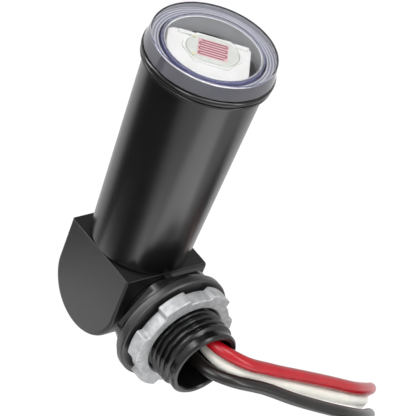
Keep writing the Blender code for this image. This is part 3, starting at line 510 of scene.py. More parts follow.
def round_top(piece: Piece, radius: float, segments: int, above: float = -math.inf) -> None:
    """Rounds every edge above a height to one radius.

    Args:
        piece: The object.
        radius: The radius in mm.
        segments: Steps across the round.
        above: The height in mm. Where none is given, all edges are rounded.
    """
    round_edges(piece, lambda a, b: radius if min(a.z, b.z) > above else 0.0, radius, segments)


def rectangle(low: Ring, high: Ring) -> list[Ring]:
    """The corners of a rectangle, from its lowest corner to its highest."""
    return [low, (high[0], low[1]), high, (low[0], high[1])]


def arc(centre: Ring, radius: float, start: float, end: float, steps: int) -> list[Ring]:
    """Points on an arc.

    Args:
        centre: The arc's centre.
        radius: Its radius.
        start: First angle in degrees.
        end: Last angle in degrees.
        steps: How many equal steps.

    Returns:
        The points, both ends among them.
    """
    points = []
    for i in range(steps + 1):
        angle = math.radians(start + (end - start) * i / steps)
        points.append((centre[0] + radius * math.cos(angle),
                       centre[1] + radius * math.sin(angle)))
    return points


def turn(name: str, profile: Sequence[Ring], axis: Axis, segments: int = ROUND,
         angle: float = 30.0) -> Piece:
    """Turns a closed profile: a circle is extruded and resized from point to point.

    Args:
        name: The piece's name.
        profile: (radius, height) points in mm along the axis. Where the first and the last
            lie on the axis, the ends are closed there.
        axis: Which axis it lies on.
        segments: Steps round the axis.
        angle: Edges sharper than this, in degrees, stay sharp.

    Returns:
        The piece.
    """
    solid = profile[0][0] == 0
    rings = [ring for ring in profile if ring[0] > 0]
    deselect()
    bpy.ops.mesh.primitive_circle_add(vertices=segments, radius=rings[0][0] * MM,
                                      fill_type="NGON" if solid else "NOTHING",
                                      location=(0, 0, rings[0][1] * MM))
    piece = apply_place(name_new(name))
    set_mode("EDIT")
    bpy.ops.mesh.select_mode(type="EDGE")
    bpy.ops.mesh.select_all(action="SELECT")
    followers = rings[1:] if solid else rings[1:] + rings[:1]
    for (radius, height), (next_radius, next_height) in zip(rings, followers):
        rise = (next_height - height) * MM
        bpy.ops.mesh.extrude_edges_move(TRANSFORM_OT_translate={"value": (0, 0, rise)})
        share = next_radius / radius
        bpy.ops.transform.resize(value=(share, share, 1),
                                 center_override=(0, 0, next_height * MM))
    if solid:
        bpy.ops.mesh.edge_face_add()
    set_mode("OBJECT")
    if axis is Axis.NIPPLE:
        piece.rotation_euler = (0, math.pi / 2, 0)
    else:
        piece.location = (TUBE_X * MM, 0, 0)
    apply_place(piece)
    return finish_mesh(piece, angle)


def board_point(along: float, out: float, z: float) -> Point:
    """A place on the board's own axes.

    Args:
        along: Along the board's width, in mm.
        out: Out of its component side, in mm.
        z: Height in mm.

    Returns:
        The point in the frame, in mm.
    """
    return (TUBE_X + along * math.cos(BOARD_TURN) + out * math.sin(BOARD_TURN),
            along * math.sin(BOARD_TURN) - out * math.cos(BOARD_TURN), z)


def plate(name: str, outline: Sequence[Ring], foot: float, thickness: float,
          place: Callable[[float, float, float], Point] = board_point) -> Piece:
    """Makes a flat piece: a filled circle takes the outline's form and is extruded.

    Args:
        name: The piece's name.
        outline: Its outline in mm, in its own plane.
        foot: Where it starts along its own third axis, in mm.
        thickness: How far it goes from there, in mm.
        place: Turns (first, second, third) of its own axes into a point in the frame, in mm.
            Where none is given, they are the board's.

    Returns:
        The piece, with sharp edges.
    """
    deselect()
    bpy.ops.mesh.primitive_circle_add(vertices=len(outline), radius=MM, fill_type="NGON")
    piece = apply_place(name_new(name))
    for vertex, (first, second) in zip(piece.data.vertices, outline):
        vertex.co = Vector(place(first, second, foot)) * MM
    rise = Vector(place(0, 0, thickness)) - Vector(place(0, 0, 0))
    set_mode("EDIT")
    bpy.ops.mesh.select_all(action="SELECT")
    bpy.ops.mesh.extrude_region_move(TRANSFORM_OT_translate={"value": tuple(rise * MM)})
    set_mode("OBJECT")
    return finish_mesh(piece)


def box(name: str, low: Point, high: Point) -> Piece:
    """Adds a cube between two corners, for a piece that is shaped further.

    Args:
        name: The piece's name.
        low: Its lowest corner in mm.
        high: Its highest corner in mm.

    Returns:
        The object.
    """
    deselect()
    middle = [(a + b) / 2 * MM for a, b in zip(low, high)]
    size = [(b - a) * MM for a, b in zip(low, high)]
    bpy.ops.mesh.primitive_cube_add(size=1, location=middle, scale=size)
    return apply_place(name_new(name))


def drill(piece: Piece, radius: float, start: Point, along: str, length: float) -> None:
    """Cuts a round hole.

    Args:
        piece: The piece to drill.
        radius: The hole's radius in mm.
        start: The centre of its first end, in mm.
        along: "x" or "z".
        length: Its length in mm.
    """
    deselect()
    middle = list(start)
    middle["xyz".index(along)] += length / 2
    turned = (0, math.pi / 2, 0) if along == "x" else (0, 0, 0)
    bpy.ops.mesh.primitive_cylinder_add(vertices=96, radius=radius * MM, depth=length * MM,
                                        location=[value * MM for value in middle],
                                        rotation=turned)
    combine(piece, apply_place(name_new("drill")), "DIFFERENCE")


def tube_curve(name: str, points: Sequence[Vector], radius: float, resolution: int) -> Piece:
    """Adds a round tube along points.

    Args:
        name: The piece's name.
        points: Its centreline in mm.
        radius: Its radius in mm.
        resolution: Blender's bevel resolution.

    Returns:
        The curve object.
    """
    curve = bpy.data.curves.new(name, "CURVE")
    curve.dimensions = "3D"
    curve.bevel_depth = radius * MM
    curve.bevel_resolution = resolution
    curve.use_fill_caps = True
    spline = curve.splines.new("POLY")
    spline.points.add(len(points) - 1)
    for target, point in zip(spline.points, points):
        target.co = (*(Vector(point) * MM), 1)
    spline.use_smooth = True
    piece = bpy.data.objects.new(name, curve)
    bpy.context.scene.collection.objects.link(piece)
    return piece


def join(pieces: Sequence[Piece], name: str, angle: float = 50.0) -> Piece:
    """Turns objects into meshes and joins them into one.

    Args:
        pieces: The objects.
        name: The joined piece's name.
        angle: Edges sharper than this, in degrees, stay sharp.

    Returns:
        The joined object.
    """
    deselect()
    for piece in pieces:
        piece.select_set(True)
    bpy.context.view_layer.objects.active = pieces[0]
    bpy.ops.object.convert(target="MESH")
    if len(pieces) > 1:
        bpy.ops.object.join()
    return finish_mesh(name_new(name), angle)


@cache
def material_of(finish: Finish | ClearPlastic) -> Material:
    """Makes a finish's material at the first call, and gives the same one later."""
    return finish.make()


def dress(piece: Piece, finish: Finish | ClearPlastic, slot: str, *nodes: str) -> None:
    """Gives a piece its material and its body, and hides what it stands for.

    Args:
        piece: The finished piece.
        finish: Its finish.
        slot: The record's material slot; not used.
        nodes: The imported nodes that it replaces.
    """
    piece.data.materials.clear()
    piece.data.materials.append(material_of(finish))
    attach(piece, BODY)
    if nodes:
        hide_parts(*nodes)
    LOG.info("%s: %s", piece.name, finish.name)


def dress_kept(nodes: dict[str, Piece]) -> None:
    """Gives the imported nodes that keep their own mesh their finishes.

    Args:
        nodes: The frame's nodes.
    """
    for name, finish in KEPT_NODES.items():
        node = nodes[name]
        if not node.material_slots:
            node.data.materials.append(material_of(finish))
        for slot in node.material_slots:
            slot.material = material_of(finish)
        LOG.info("%s: %s", name, finish.name)


# The studio

@dataclass
class Camera:
    """A long lens at the photograph's angle, rolled so that the tube leans to the right."""

    place: Point = (372.3, -448.6, 487.3)
    right: Point = (0.5651, 0.7705, 0.2951)
    down: Point = (0.6485, -0.1937, -0.7362)
    focal: float = 259.6
    sensor: float = 36.0

    def build(self) -> None:
        """Adds the camera and makes it the scene's."""
        camera = bpy.data.objects.new("camera", bpy.data.cameras.new("camera"))
        bpy.context.scene.collection.objects.link(camera)
        camera.data.lens = self.focal
        camera.data.sensor_width = self.sensor
        camera.data.clip_start = 0.01
        camera.data.clip_end = 20
        right = Vector(self.right).normalized()
        up = -Vector(self.down)
        up = (up - right * up.dot(right)).normalized()
        turned = Matrix((right, up, right.cross(up))).transposed()
        camera.matrix_world = Matrix.Translation(Vector(self.place) * MM) @ turned.to_4x4()
        bpy.context.scene.camera = camera


@dataclass(frozen=True)
class Softbox:
    """A rectangular lamp that faces the switch.

    Attributes:
        name: The lamp's name.
        place: Its centre in mm.
        width: Its width in mm.
        height: Its height in mm.
        power: Its power in watts.
    """

    name: str
    place: Point
    width: float
    height: float
    power: float

    def build(self, target: Vector) -> None:
        """Adds the lamp.

        Args:
            target: What it faces, in mm.
        """
        light = bpy.data.lights.new(self.name, "AREA")
        light.shape = "RECTANGLE"
        light.size = self.width * MM
        light.size_y = self.height * MM
        light.energy = self.power
        lamp = bpy.data.objects.new(self.name, light)
        bpy.context.scene.collection.objects.link(lamp)
        lamp.location = Vector(self.place) * MM
        aim = target * MM - lamp.location
        lamp.rotation_euler = aim.to_track_quat("-Z", "Y").to_euler()


def background_rays(tree: Tree) -> Socket:
    """Tells the rays that see the white background: camera, glossy and transmission rays.

    Args:
        tree: The node tree of the world or of the floor.

    Returns:
        A socket that is 1 for such a ray and 0 for one that lights the object.
    """
    path = add_node(tree, "ShaderNodeLightPath")
    seen = add_node(tree, "ShaderNodeMath", {0: path.outputs["Is Camera Ray"],
                                             1: path.outputs["Is Glossy Ray"]},
                    operation="MAXIMUM")
    return add_node(tree, "ShaderNodeMath", {0: seen.outputs[0],
                                             1: path.outputs["Is Transmission Ray"]},
                    operation="MAXIMUM").outputs[0]


@dataclass(frozen=True)
class Card:
    """A level card below or above the switch that shows only in what is glossy.

    Attributes:
        name: The card's name.
        place: Its centre in mm.
        width: Its size along X in mm.
        depth: Its size along Y in mm.
        glow: 0 for a black card, more for a lit one.
    """

    name: str
    place: Point
    width: float
    depth: float
    glow: float

    def build(self) -> None:
        """Adds the card."""
        deselect()
        bpy.ops.mesh.primitive_plane_add(size=1, location=Vector(self.place) * MM)
        card = name_new(self.name)
        card.scale = (self.width * MM, self.depth * MM, 1)
        apply_place(card)
        material = bpy.data.materials.new(self.name + "_face")
        material.use_nodes = True
        tree = material.node_tree
        glow = add_node(tree, "ShaderNodeEmission", {"Strength": self.glow})
        tree.links.new(glow.outputs[0], tree.nodes["Material Output"].inputs["Surface"])
        card.data.materials.append(material)
        for ray in ("camera", "diffuse", "transmission", "shadow"):
            setattr(card, "visible_" + ray, False)


@dataclass
class Studio:
    """A white floor below the leads, a white surrounding, softboxes and cards. Places in mm."""

    floor_z: float = -95.0
    floor_reach: float = 4000.0
    floor_glow: float = 0.88
    ambient: float = 0.3
    target: Point = (TUBE_X, 0.0, 30.0)
    lamps: tuple[Softbox, ...] = (
        Softbox("front_softbox", (330, -800, 540), 420, 620, 6.0),
        Softbox("left_softbox", (-540, -430, 270), 200, 1000, 6.0),
        Softbox("right_strip", (640, 260, 300), 160, 600, 2.5),
        Softbox("top_softbox", (360, 0, 780), 500, 500, 5.0),
    )
    cards: tuple[Card, ...] = (
        Card("front_black_card", (-105, -235, -92), 330, 330, 0.0),
        Card("upper_black_card", (-300, 210, 360), 420, 660, 0.0),
        Card("right_black_card", (50, 128, -90), 80, 80, 0.0),
        Card("right_lit_card", (145, 5, -92), 150, 135, 3.0),
        Card("side_lit_card", (-46, -49, -45), 44, 38, 2.1),
        Card("edge_lit_card", (62, -72, -92), 60, 60, 3.0),
    )

    def build(self) -> None:
        """Adds the surrounding, the floor, the lamps and the cards."""
        bpy.context.scene.view_settings.view_transform = "Standard"
        self.build_surrounding()
        self.build_floor()
        for lamp in self.lamps:
            lamp.build(Vector(self.target))
        for card in self.cards:
            card.build()

    def build_surrounding(self) -> None:
        """Makes the world white to the camera, in gloss and through the lens."""
        world = bpy.data.worlds.new("white_studio")
        bpy.context.scene.world = world
        world.use_nodes = True
        tree = world.node_tree
        fill = tree.nodes["Background"]
        fill.inputs["Color"].default_value = (1, 1, 1, 1)
        fill.inputs["Strength"].default_value = self.ambient
        seen = add_node(tree, "ShaderNodeBackground", {"Color": (1, 1, 1, 1), "Strength": 1.0})
        mix = add_node(tree, "ShaderNodeMixShader", {0: background_rays(tree),
                                                     1: fill.outputs[0], 2: seen.outputs[0]})
        tree.links.new(mix.outputs[0], tree.nodes["World Output"].inputs["Surface"])

    def build_floor(self) -> None:
        """Adds the floor, white to the camera and through the lens, with a faint shadow."""
        reach = self.floor_reach
        deselect()
        bpy.ops.mesh.primitive_plane_add(size=2 * reach * MM,
                                         location=(0, 0, self.floor_z * MM))
        floor = apply_place(name_new("studio_floor"))
        material = bpy.data.materials.new("white_paint")
        material.use_nodes = True
        tree = material.node_tree
        shader = tree.nodes["Principled BSDF"]
        shader.inputs["Base Color"].default_value = linear("f4f4f4")
        shader.inputs["Roughness"].default_value = 0.9
        glow = add_node(tree, "ShaderNodeEmission", {"Strength": 1.0})
        share = add_node(tree, "ShaderNodeMath", {0: background_rays(tree), 1: self.floor_glow},
                         operation="MULTIPLY")
        mix = add_node(tree, "ShaderNodeMixShader", {0: share.outputs[0],
                                                     1: shader.outputs[0], 2: glow.outputs[0]})
        tree.links.new(mix.outputs[0], tree.nodes["Material Output"].inputs["Surface"])
        floor.data.materials.append(material)


# The leads

@dataclass
class Lead:
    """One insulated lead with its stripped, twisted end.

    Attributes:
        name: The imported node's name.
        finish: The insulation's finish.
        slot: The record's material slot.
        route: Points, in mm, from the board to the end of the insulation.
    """

    name: str
    finish: Finish
    slot: str
    route: Sequence[Point]
    diameter: float = 3.4
    step: float = 1.6
    strands: int = 6
    strand_radius: float = 0.2
    lay_radius: float = 0.42
    lay_turns: float = 1.6
    bare_length: float = 9.2
    hidden_length: float = 0.4
    uneven: float = 0.25

    def centreline(self) -> list[Vector]:
        """Reads evenly spaced points from a smooth curve through the route.

        Returns:
            Points in mm.
        """
        ends = [Vector(point) for point in self.route]
        ends = [2 * ends[0] - ends[1]] + ends + [2 * ends[-1] - ends[-2]]
        dense = [ends[1]]
        for a, b, c, d in zip(ends, ends[1:], ends[2:], ends[3:]):
            for i in range(1, 41):
                t = i / 40
                dense.append(0.5 * (2 * b + (c - a) * t + (2 * a - 5 * b + 4 * c - d) * t * t
                                    + (3 * b - 3 * c + d - a) * t ** 3))
        lengths = [0.0]
        for a, b in zip(dense, dense[1:]):
            lengths.append(lengths[-1] + (b - a).length)
        count = round(lengths[-1] / self.step)
        points = []
        j = 0
        for i in range(count + 1):
            along = lengths[-1] * i / count
            while j < len(lengths) - 2 and lengths[j + 1] < along:
                j += 1
            share = (along - lengths[j]) / (lengths[j + 1] - lengths[j])
            points.append(dense[j].lerp(dense[j + 1], share))
        return points

    def build(self) -> None:
        points = self.centreline()
        jacket = tube_curve(self.name + "_insulation", points, self.diameter / 2, 6)
        dress(jacket, self.finish, self.slot, self.name)
        core = self.build_core(points[-1], (points[-1] - points[-3]).normalized())
        dress(core, COPPER, "bare_copper", self.name + "_core")

    def build_core(self, end: Vector, way: Vector) -> Piece:
        """Twists strands round a middle one out of the lead's end.

        Args:
            end: The end of the insulation, in mm.
            way: The lead's direction there.

        Returns:
            One mesh of the strands.
        """
        side = way.cross(Vector((0, 0, 1))).normalized()
        other = way.cross(side)
        pieces = []
        for strand in range(self.strands + 1):
            middle = strand == self.strands
            reach = 0.0 if middle else self.lay_radius
            line = []
            for i in range(25):
                share = i / 24
                angle = math.tau * (strand / self.strands + share * self.lay_turns)
                full = self.bare_length + self.hidden_length - self.uneven * (strand % 3)
                along = full * share - self.hidden_length
                line.append(end + way * along + side * reach * math.cos(angle)
                            + other * reach * math.sin(angle))
            pieces.append(tube_curve(f"{self.name}_strand_{strand}", line,
                                     self.strand_radius, 2))
        return join(pieces, self.name + "_strands")


LEADS = (
    Lead("red_lead", RED_PVC, "red_insulation", (
        (-20.4, 4.9, 20.0), (-20.4, 4.9, 14.5), (-19.7, 4.7, 10.2), (-16.4, 4.1, 5.9),
        (-9.6, 3.5, 3.9), (0.0, 3.4, 4.1), (6.4, 3.1, 3.9), (11.8, 3.9, 3.5),
        (15.5, 6.5, 2.7), (17.9, 11.5, 0.4), (18.7, 17.8, -2.4), (19.4, 22.3, -4.3),
        (20.0, 32.3, -8.8), (20.2, 42.9, -14.0), (20.0, 53.8, -19.8), (16.9, 63.7, -26.5),
        (11.9, 72.7, -34.2), (6.1, 80.8, -42.6), (0.3, 87.9, -51.6))),
    Lead("white_lead", WHITE_PVC, "white_insulation", (
        (-23.3, 1.4, 20.0), (-23.2, 1.5, 14.5), (-22.1, 1.9, 7.8), (-17.9, 3.2, 1.9),
        (-10.0, 5.0, 0.2), (0.0, 5.3, 0.1), (4.5, 4.5, 0.0), (9.4, 4.3, -0.2),
        (13.6, 5.4, -0.8), (16.2, 8.9, -2.5), (17.2, 13.7, -4.6), (18.1, 18.2, -6.9),
        (19.3, 24.5, -9.3), (20.2, 32.2, -12.8), (20.6, 41.8, -17.6), (20.5, 51.7, -22.7),
        (17.7, 61.3, -29.3), (12.7, 70.3, -36.9), (7.1, 78.3, -45.5), (1.7, 85.3, -54.9))),
    Lead("black_lead", BLACK_PVC, "black_insulation", (
        (-26.2, -2.0, 20.0), (-26.1, -2.0, 14.5), (-25.0, -1.0, 6.5), (-20.5, 1.2, -0.5),
        (-13.0, 1.6, -3.2), (-4.0, 1.3, -3.4), (4.0, 0.9, -2.9), (9.4, 0.9, -2.3),
        (14.7, 1.9, -2.2), (19.2, 6.6, -2.8), (21.8, 15.9, -5.9), (24.5, 26.2, -10.7),
        (26.0, 37.7, -16.2), (26.5, 46.7, -20.6), (24.9, 55.7, -26.2), (20.5, 64.7, -33.2),
        (15.1, 72.8, -41.4), (9.9, 80.0, -50.6), (5.3, 85.8, -60.2))),
)


# The housing

@dataclass
class Elbow:
    """The moulded elbow: flat sides, a half-round foot, a proud pad and a rib at the front."""

    half: float = 12.7
    top_z: float = 11.2
    round_z: float = -2.0
    edge: float = 1.0
    foot_edge: float = 2.8
    top_edge: float = 0.45
    pad_proud: float = 1.6
    pad_corner: float = 3.0
    pad_top_edge: float = 1.2
    pad_root: float = 3.4
    pad_foot_z: float = -5.0
    inset: float = 0.05
    rib_width: float = 2.0
    rib_proud: float = 2.6
    rib_foot_z: float = 0.5
    rib_edge: float = 0.25
    socket_radius: float = 9.9
    socket_z: float = 7.7
    well_radius: float = 8.8
    well_floor_z: float = -8.8
    passage_radius: float = 8.2
    neck_socket_x: float = -10.5

    def build(self) -> None:
        """Builds the elbow in place of its node."""
        body = self.build_body()
        combine(body, self.build_pad(), "UNION")
        front = TUBE_X + self.half
        rib = box("elbow_rib", (front - self.pad_root, -self.rib_width / 2, self.rib_foot_z),
                  (front + self.rib_proud, self.rib_width / 2, self.top_z - 2 * self.inset))
        round_top(rib, self.rib_edge, 3)
        combine(body, rib, "UNION")
        top = self.top_z + OVERCUT
        for radius, floor in ((self.socket_radius, self.socket_z),
                              (self.well_radius, self.well_floor_z)):
            drill(body, radius, (TUBE_X, 0, floor), "z", top - floor)
        drill(body, self.socket_radius, (self.neck_socket_x, 0, 0), "x", OVERCUT)
        drill(body, self.passage_radius, (TUBE_X, 0, 0), "x", self.half + OVERCUT)
        finish_mesh(body, 35)
        keep_flats_flat(body)
        dress(body, BODY_PLASTIC, "moulded_body", "elbow_body")

    def build_body(self) -> Piece:
        """Shapes half a circle, raises it to the top and extrudes it across.

        Returns:
            The body with its edges rounded.
        """
        half = self.half * MM
        deselect()
        bpy.ops.mesh.primitive_circle_add(vertices=128, radius=half, rotation=(math.pi / 2, 0, 0),
                                          location=(TUBE_X * MM, -half, self.round_z * MM))
        body = apply_place(name_new("elbow_shell"))
        level = self.round_z * MM
        near = 0.01 * MM
        select_vertices(body, lambda point: point.z > level + near)
        bpy.ops.mesh.delete(type="VERT")
        select_vertices(body, lambda point: abs(point.z - level) < near)
        rise = (self.top_z - self.round_z) * MM
        bpy.ops.mesh.extrude_vertices_move(TRANSFORM_OT_translate={"value": (0, 0, rise)})
        bpy.ops.mesh.edge_face_add()
        bpy.ops.mesh.select_all(action="SELECT")
        bpy.ops.mesh.edge_face_add()
        bpy.ops.mesh.extrude_region_move(TRANSFORM_OT_translate={"value": (0, 2 * half, 0)})
        finish_mesh(body)
        round_edges(body, self.edge_radius, self.foot_edge, 6)
        return body

    def edge_radius(self, a: Vector, b: Vector) -> float:
        """Gives the radius of one of the body's edges.

        Args:
            a: One end in mm.
            b: The other end in mm.

        Returns:
            The radius in mm: it grows down the sides to the foot.
        """
        across = abs(a.y - b.y) > 0.01
        at_top = min(a.z, b.z) > self.top_z - 0.01
        if at_top:
            return self.top_edge
        if across:
            return 0.0
        height = (a.z + b.z) / 2
        share = (self.top_z - height) / (self.top_z - self.round_z + self.half * 0.5)
        share = min(1.0, max(0.0, share))
        return self.edge + (self.foot_edge - self.edge) * share ** 1.5

    def build_pad(self) -> Piece:
        """Shapes the pad that stands proud on one half of the front.

        Returns:
            The pad, rooted in the body.
        """
        front = TUBE_X + self.half
        outer = self.half - self.inset
        pad = box("elbow_pad", (front - self.pad_root, 0, self.pad_foot_z - self.pad_root),
                  (front + self.pad_proud, outer, self.top_z - self.inset))
        for vertex in pad.data.vertices:
            if vertex.co.x > front * MM and vertex.co.z < 0:
                vertex.co.z = self.pad_foot_z * MM

        def radius(a: Vector, b: Vector) -> float:
            if min(a.x, b.x) > front and min(a.z, b.z) > 0:
                return self.pad_top_edge
            outside = min(a.y, b.y) > outer - 0.01
            return self.pad_corner if outside and min(a.x, b.x) > front else 0.0

        round_edges(pad, radius, self.pad_corner, 8)
        return pad


@dataclass
class Tube:
    """The tapered tube with its lip and its spigot."""

    foot_z: float = 11.5
    top_z: float = 69.9
    foot_radius: float = 13.1
    taper: float = 0.044
    wall: float = 1.9
    floor_z: float = 13.7
    foot_edge: float = 0.6
    lip_radius: float = 16.9
    lip_thickness: float = 0.8
    lip_edge: float = 0.15
    throat: float = 0.3
    spigot_radius: float = 9.6
    spigot_bore: float = 8.4
    spigot_length: float = 3.2
    rings: int = 12

    def outer(self, z: float) -> float:
        """The outer radius at a height, in mm."""
        return self.foot_radius + self.taper * (z - self.foot_z)

    def build(self) -> None:
        """Turns the tube in place of its node."""
        foot, top = self.foot_z, self.top_z
        lip = top - self.lip_thickness
        edge = self.foot_edge
        profile = [(self.outer(top) - self.wall, top)]
        rim = self.lip_radius - self.lip_edge
        profile += arc((rim, top - self.lip_edge), self.lip_edge, 90, 0, 3)
        profile += arc((rim, lip + self.lip_edge), self.lip_edge, 0, -90, 3)
        profile += arc((self.outer(lip) + self.throat, lip - self.throat), self.throat,
                       90, 180, 3)
        for i in range(self.rings + 1):
            z = lip - self.throat + (foot + edge - lip + self.throat) * i / self.rings
            profile.append((self.outer(z), z))
        profile += arc((self.foot_radius - edge, foot + edge), edge, -15, -90, 4)
        profile += [
            (self.spigot_radius, foot), (self.spigot_radius, foot - self.spigot_length),
            (self.spigot_bore, foot - self.spigot_length), (self.spigot_bore, self.floor_z),
            (self.outer(self.floor_z) - self.wall, self.floor_z),
        ]
        tube = turn("housing_tube_shell", profile, Axis.TUBE)
        keep_flats_flat(tube)
        dress(tube, TUBE_PLASTIC, "moulded_tube", "housing_tube")


@dataclass
class RubberRing:
    """A rubber ring with a rounded rim, in place of its node. Sizes are in mm.

    Attributes:
        name: The piece's name.
        node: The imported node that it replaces.
        finish: Its finish.
        slot: The record's material slot.
        axis: What it lies round.
        inner: Its inner radius.
        radius: Its outer radius.
        low: Its first face, along the axis.
        high: Its second face.
        steps: Steps across each round.
        edge: The radius of the rim's edges.
    """

    name: str
    node: str
    finish: Finish
    slot: str
    axis: Axis
    inner: float
    radius: float
    low: float
    high: float
    steps: int
    edge: float = 0.6

    def build(self) -> None:
        """Turns the ring."""
        edge, rim = self.edge, self.radius - self.edge
        profile = [(self.inner, self.high),
                   *arc((rim, self.high - edge), edge, 90, 0, self.steps),
                   *arc((rim, self.low + edge), edge, 0, -90, self.steps),
                   (self.inner, self.low)]
        dress(turn(self.name, profile, self.axis), self.finish, self.slot, self.node)


SEAL = RubberRing("lens_seal_ring", "lens_seal", SEAL_RUBBER, "seal_rubber", Axis.TUBE,
                  13.77, 17.15, 70.2, 71.7, 8)
GASKET = RubberRing("gasket_ring", "gasket", GASKET_RUBBER, "gasket_rubber", Axis.NIPPLE,
                    10.75, 16.0, -2.6, 0.0, 6)


@dataclass
class Lens:
    """The clear cap: a thick side wall, a flat window and a skirt inside the tube."""

    foot_radius: float = 16.8
    top_radius: float = 16.25
    foot_z: float = 71.9
    top_z: float = 76.2
    top_edge: float = 0.35
    ceiling_z: float = 74.2
    skirt_radius: float = 13.5
    skirt_depth: float = 3.5
    window_radius: float = 13.0
    window_fillet: float = 0.7
    rim_depth: float = 0.35
    foot_edge: float = 0.2
    foot_inset: float = 0.6
    inset: float = 0.15
    skin: float = 0.1
    ring_width: float = 0.4

    def build(self) -> None:
        """Turns the cap in place of its node, then the frosted films in it, some of them coloured
        as painted shade, tint and highlight.
        """
        edge, fillet, inner = self.top_edge, self.window_fillet, self.window_radius
        skirt_foot = self.foot_z - self.skirt_depth
        profile = [(0, self.top_z), (self.top_radius - edge - 2, self.top_z)]
        profile += arc((self.top_radius - edge, self.top_z - edge), edge, 90, 0, 6)
        profile += [(self.foot_radius, self.foot_z + self.foot_edge),
                    (self.foot_radius - self.foot_edge, self.foot_z),
                    (self.skirt_radius, self.foot_z), (self.skirt_radius, skirt_foot),
                    (inner, skirt_foot)]
        profile += arc((inner - fillet, self.ceiling_z - fillet), fillet, 0, 90, 6)
        profile += [(inner - 3, self.ceiling_z), (0, self.ceiling_z)]
        cap = turn("lens_shell", profile, Axis.TUBE, 192)
        keep_flats_flat(cap)
        dress(cap, LENS_ACRYLIC, "clear_lens", "lens_cap")
        skin, inset = self.skin, self.inset
        foot, top = self.foot_z + skin, self.top_z - 2 * edge
        wall_top = self.ceiling_z - fillet - skin
        deep = self.rim_depth + FILM
        ring = self.skirt_radius + self.foot_edge
        for name, finish, low, high, thickness in (
                ("lens_frosted_wall", LENS_FROST, (inner - inset, skirt_foot),
                 (inner - inset, wall_top), FILM),
                # painted shade and tint: the frosted wall as it looks through the thick acrylic
                ("lens_painted_shade_violet_wall", LENS_VIOLET_PAINTED_SHADE, (inner + skin, skirt_foot + skin),
                 (inner + skin, wall_top), FILM),
                # painted highlight: a light ring at the window's edge
                ("lens_painted_highlight_ring", LENS_RING_LIGHT_AND_SHADE, (inner - fillet, wall_top),
                 (inner - fillet + skin, wall_top + skin), self.ring_width),
                # painted shade: a darker copy of the frosted side, seen through the rim
                ("lens_rim_painted_shade", LENS_RIM_PAINTED_SHADE, (self.foot_radius - deep, foot),
                 (self.top_radius - deep, top), FILM),
                ("lens_rim_lining", LENS_FROST, (self.foot_radius - deep - inset, foot + inset),
                 (self.top_radius - deep - inset, top - skin), FILM),
                # painted light and shade rings on the frosted foot
                ("lens_frosted_foot_painted_rings", LENS_RING_LIGHT_AND_SHADE, (ring, foot), (ring, foot + FILM),
                 self.foot_radius - self.foot_inset - ring)):
            film = turn(name, [(high[0] + thickness, high[1]), (low[0] + thickness, low[1]),
                               low, high], Axis.TUBE)
            dress(film, finish, "clear_lens")


# The threaded end

@dataclass
class Nipple:
    """The nipple: a neck, a hexagonal flange, a washer face, a moulded thread, a plain end."""

    neck_radius: float = 9.6
    back_x: float = -10.2
    hex_back_x: float = -5.6
    hex_front_x: float = -3.5
    hex_flats: float = 27.0
    hex_corner: float = 14.9
    washer_radius: float = 15.2
    washer_front_x: float = -2.9
    crest_radius: float = 10.45
    thread_depth: float = 0.95
    pitch: float = 1.814
    thread_offset: float = 0.92
    thread_stop_x: float = 11.05
    plain_x: float = 12.0
    end_x: float = 13.8
    end_radius: float = 9.8
    chamfer: float = 0.5
    bore: float = 8.1
    mouth_edge: float = 0.35
    hex_edge: float = 0.25
    washer_edge: float = 0.15
    rows_per_turn: int = 14
    crest_share: float = 0.82
    flank_share: float = 0.6

    def hex_radius(self, angle: float) -> float:
        """The flange's radius at an angle about the axis, in mm.

        Args:
            angle: In radians, from +Y towards +Z.

        Returns:
            The distance from the axis to the flat or the rounded corner.
        """
        sector = math.pi / 3
        off = (angle - math.pi / 6 + sector / 2) % sector - sector / 2
        return min(self.hex_flats / 2 / math.cos(off), self.hex_corner)

    def thread_height(self, x: float, angle: float) -> float:
        """How far the thread stands over its root, in mm.

        Args:
            x: Place along the nipple.
            angle: In radians, from +Y towards +Z.

        Returns:
            The height, with sloping flanks, a flat crest and a blunt start.
        """
        turns = (x - self.thread_offset) / self.pitch - angle / math.tau
        crest_x = (round(turns) + angle / math.tau) * self.pitch + self.thread_offset
        if crest_x > self.thread_stop_x:
            return 0.0
        away = abs(x - crest_x) / self.pitch * 2
        share = (self.crest_share - away) / self.flank_share
        return self.thread_depth * min(1.0, max(0.0, share))

    def build(self) -> None:
        """Turns the nipple, then shapes the flange and cuts the thread."""
        crest, neck, hex_middle = self.crest_radius, self.neck_radius, self.hex_flats / 2
        back, front = self.hex_back_x, self.hex_front_x
        washer, seat = self.washer_radius, self.washer_front_x
        profile = [(self.bore, self.back_x), (neck, self.back_x), (neck, back),
                   (hex_middle - 0.6, back), (hex_middle, back + self.hex_edge),
                   (hex_middle, front - 0.1), (hex_middle + 0.3, front), (washer, front),
                   (washer, seat + self.washer_edge), (washer - self.washer_edge, seat)]
        threads = self.plain_x - seat
        rows = round(threads / self.pitch * self.rows_per_turn)
        profile += [(crest, seat + threads * i / rows) for i in range(rows + 1)]
        end, chamfer = self.end_radius, self.chamfer
        profile += [(end, self.plain_x + 0.1), (end, self.end_x - chamfer)]
        profile += [(end - chamfer, self.end_x), (self.bore + self.mouth_edge, self.end_x),
                    (self.bore, self.end_x - self.mouth_edge)]
        nipple = turn("nipple_shell", profile, Axis.NIPPLE, 180, 35)
        for vertex in nipple.data.vertices:
            x, y, z = vertex.co / MM
            radius = math.hypot(y, z)
            angle = math.atan2(z, y)
            wanted = radius
            if back - 0.01 < x < front + 0.01 and neck + 0.1 < radius < washer - 0.01:
                wanted = radius - hex_middle + self.hex_radius(angle)
            elif x > seat - 0.01 and abs(radius - crest) < 0.01:
                wanted = crest - self.thread_depth + self.thread_height(x, angle)
            vertex.co.y *= wanted / radius
            vertex.co.z *= wanted / radius
        finish_mesh(nipple, 32)
        dress(nipple, NIPPLE_PLASTIC, "moulded_nipple", "nipple")


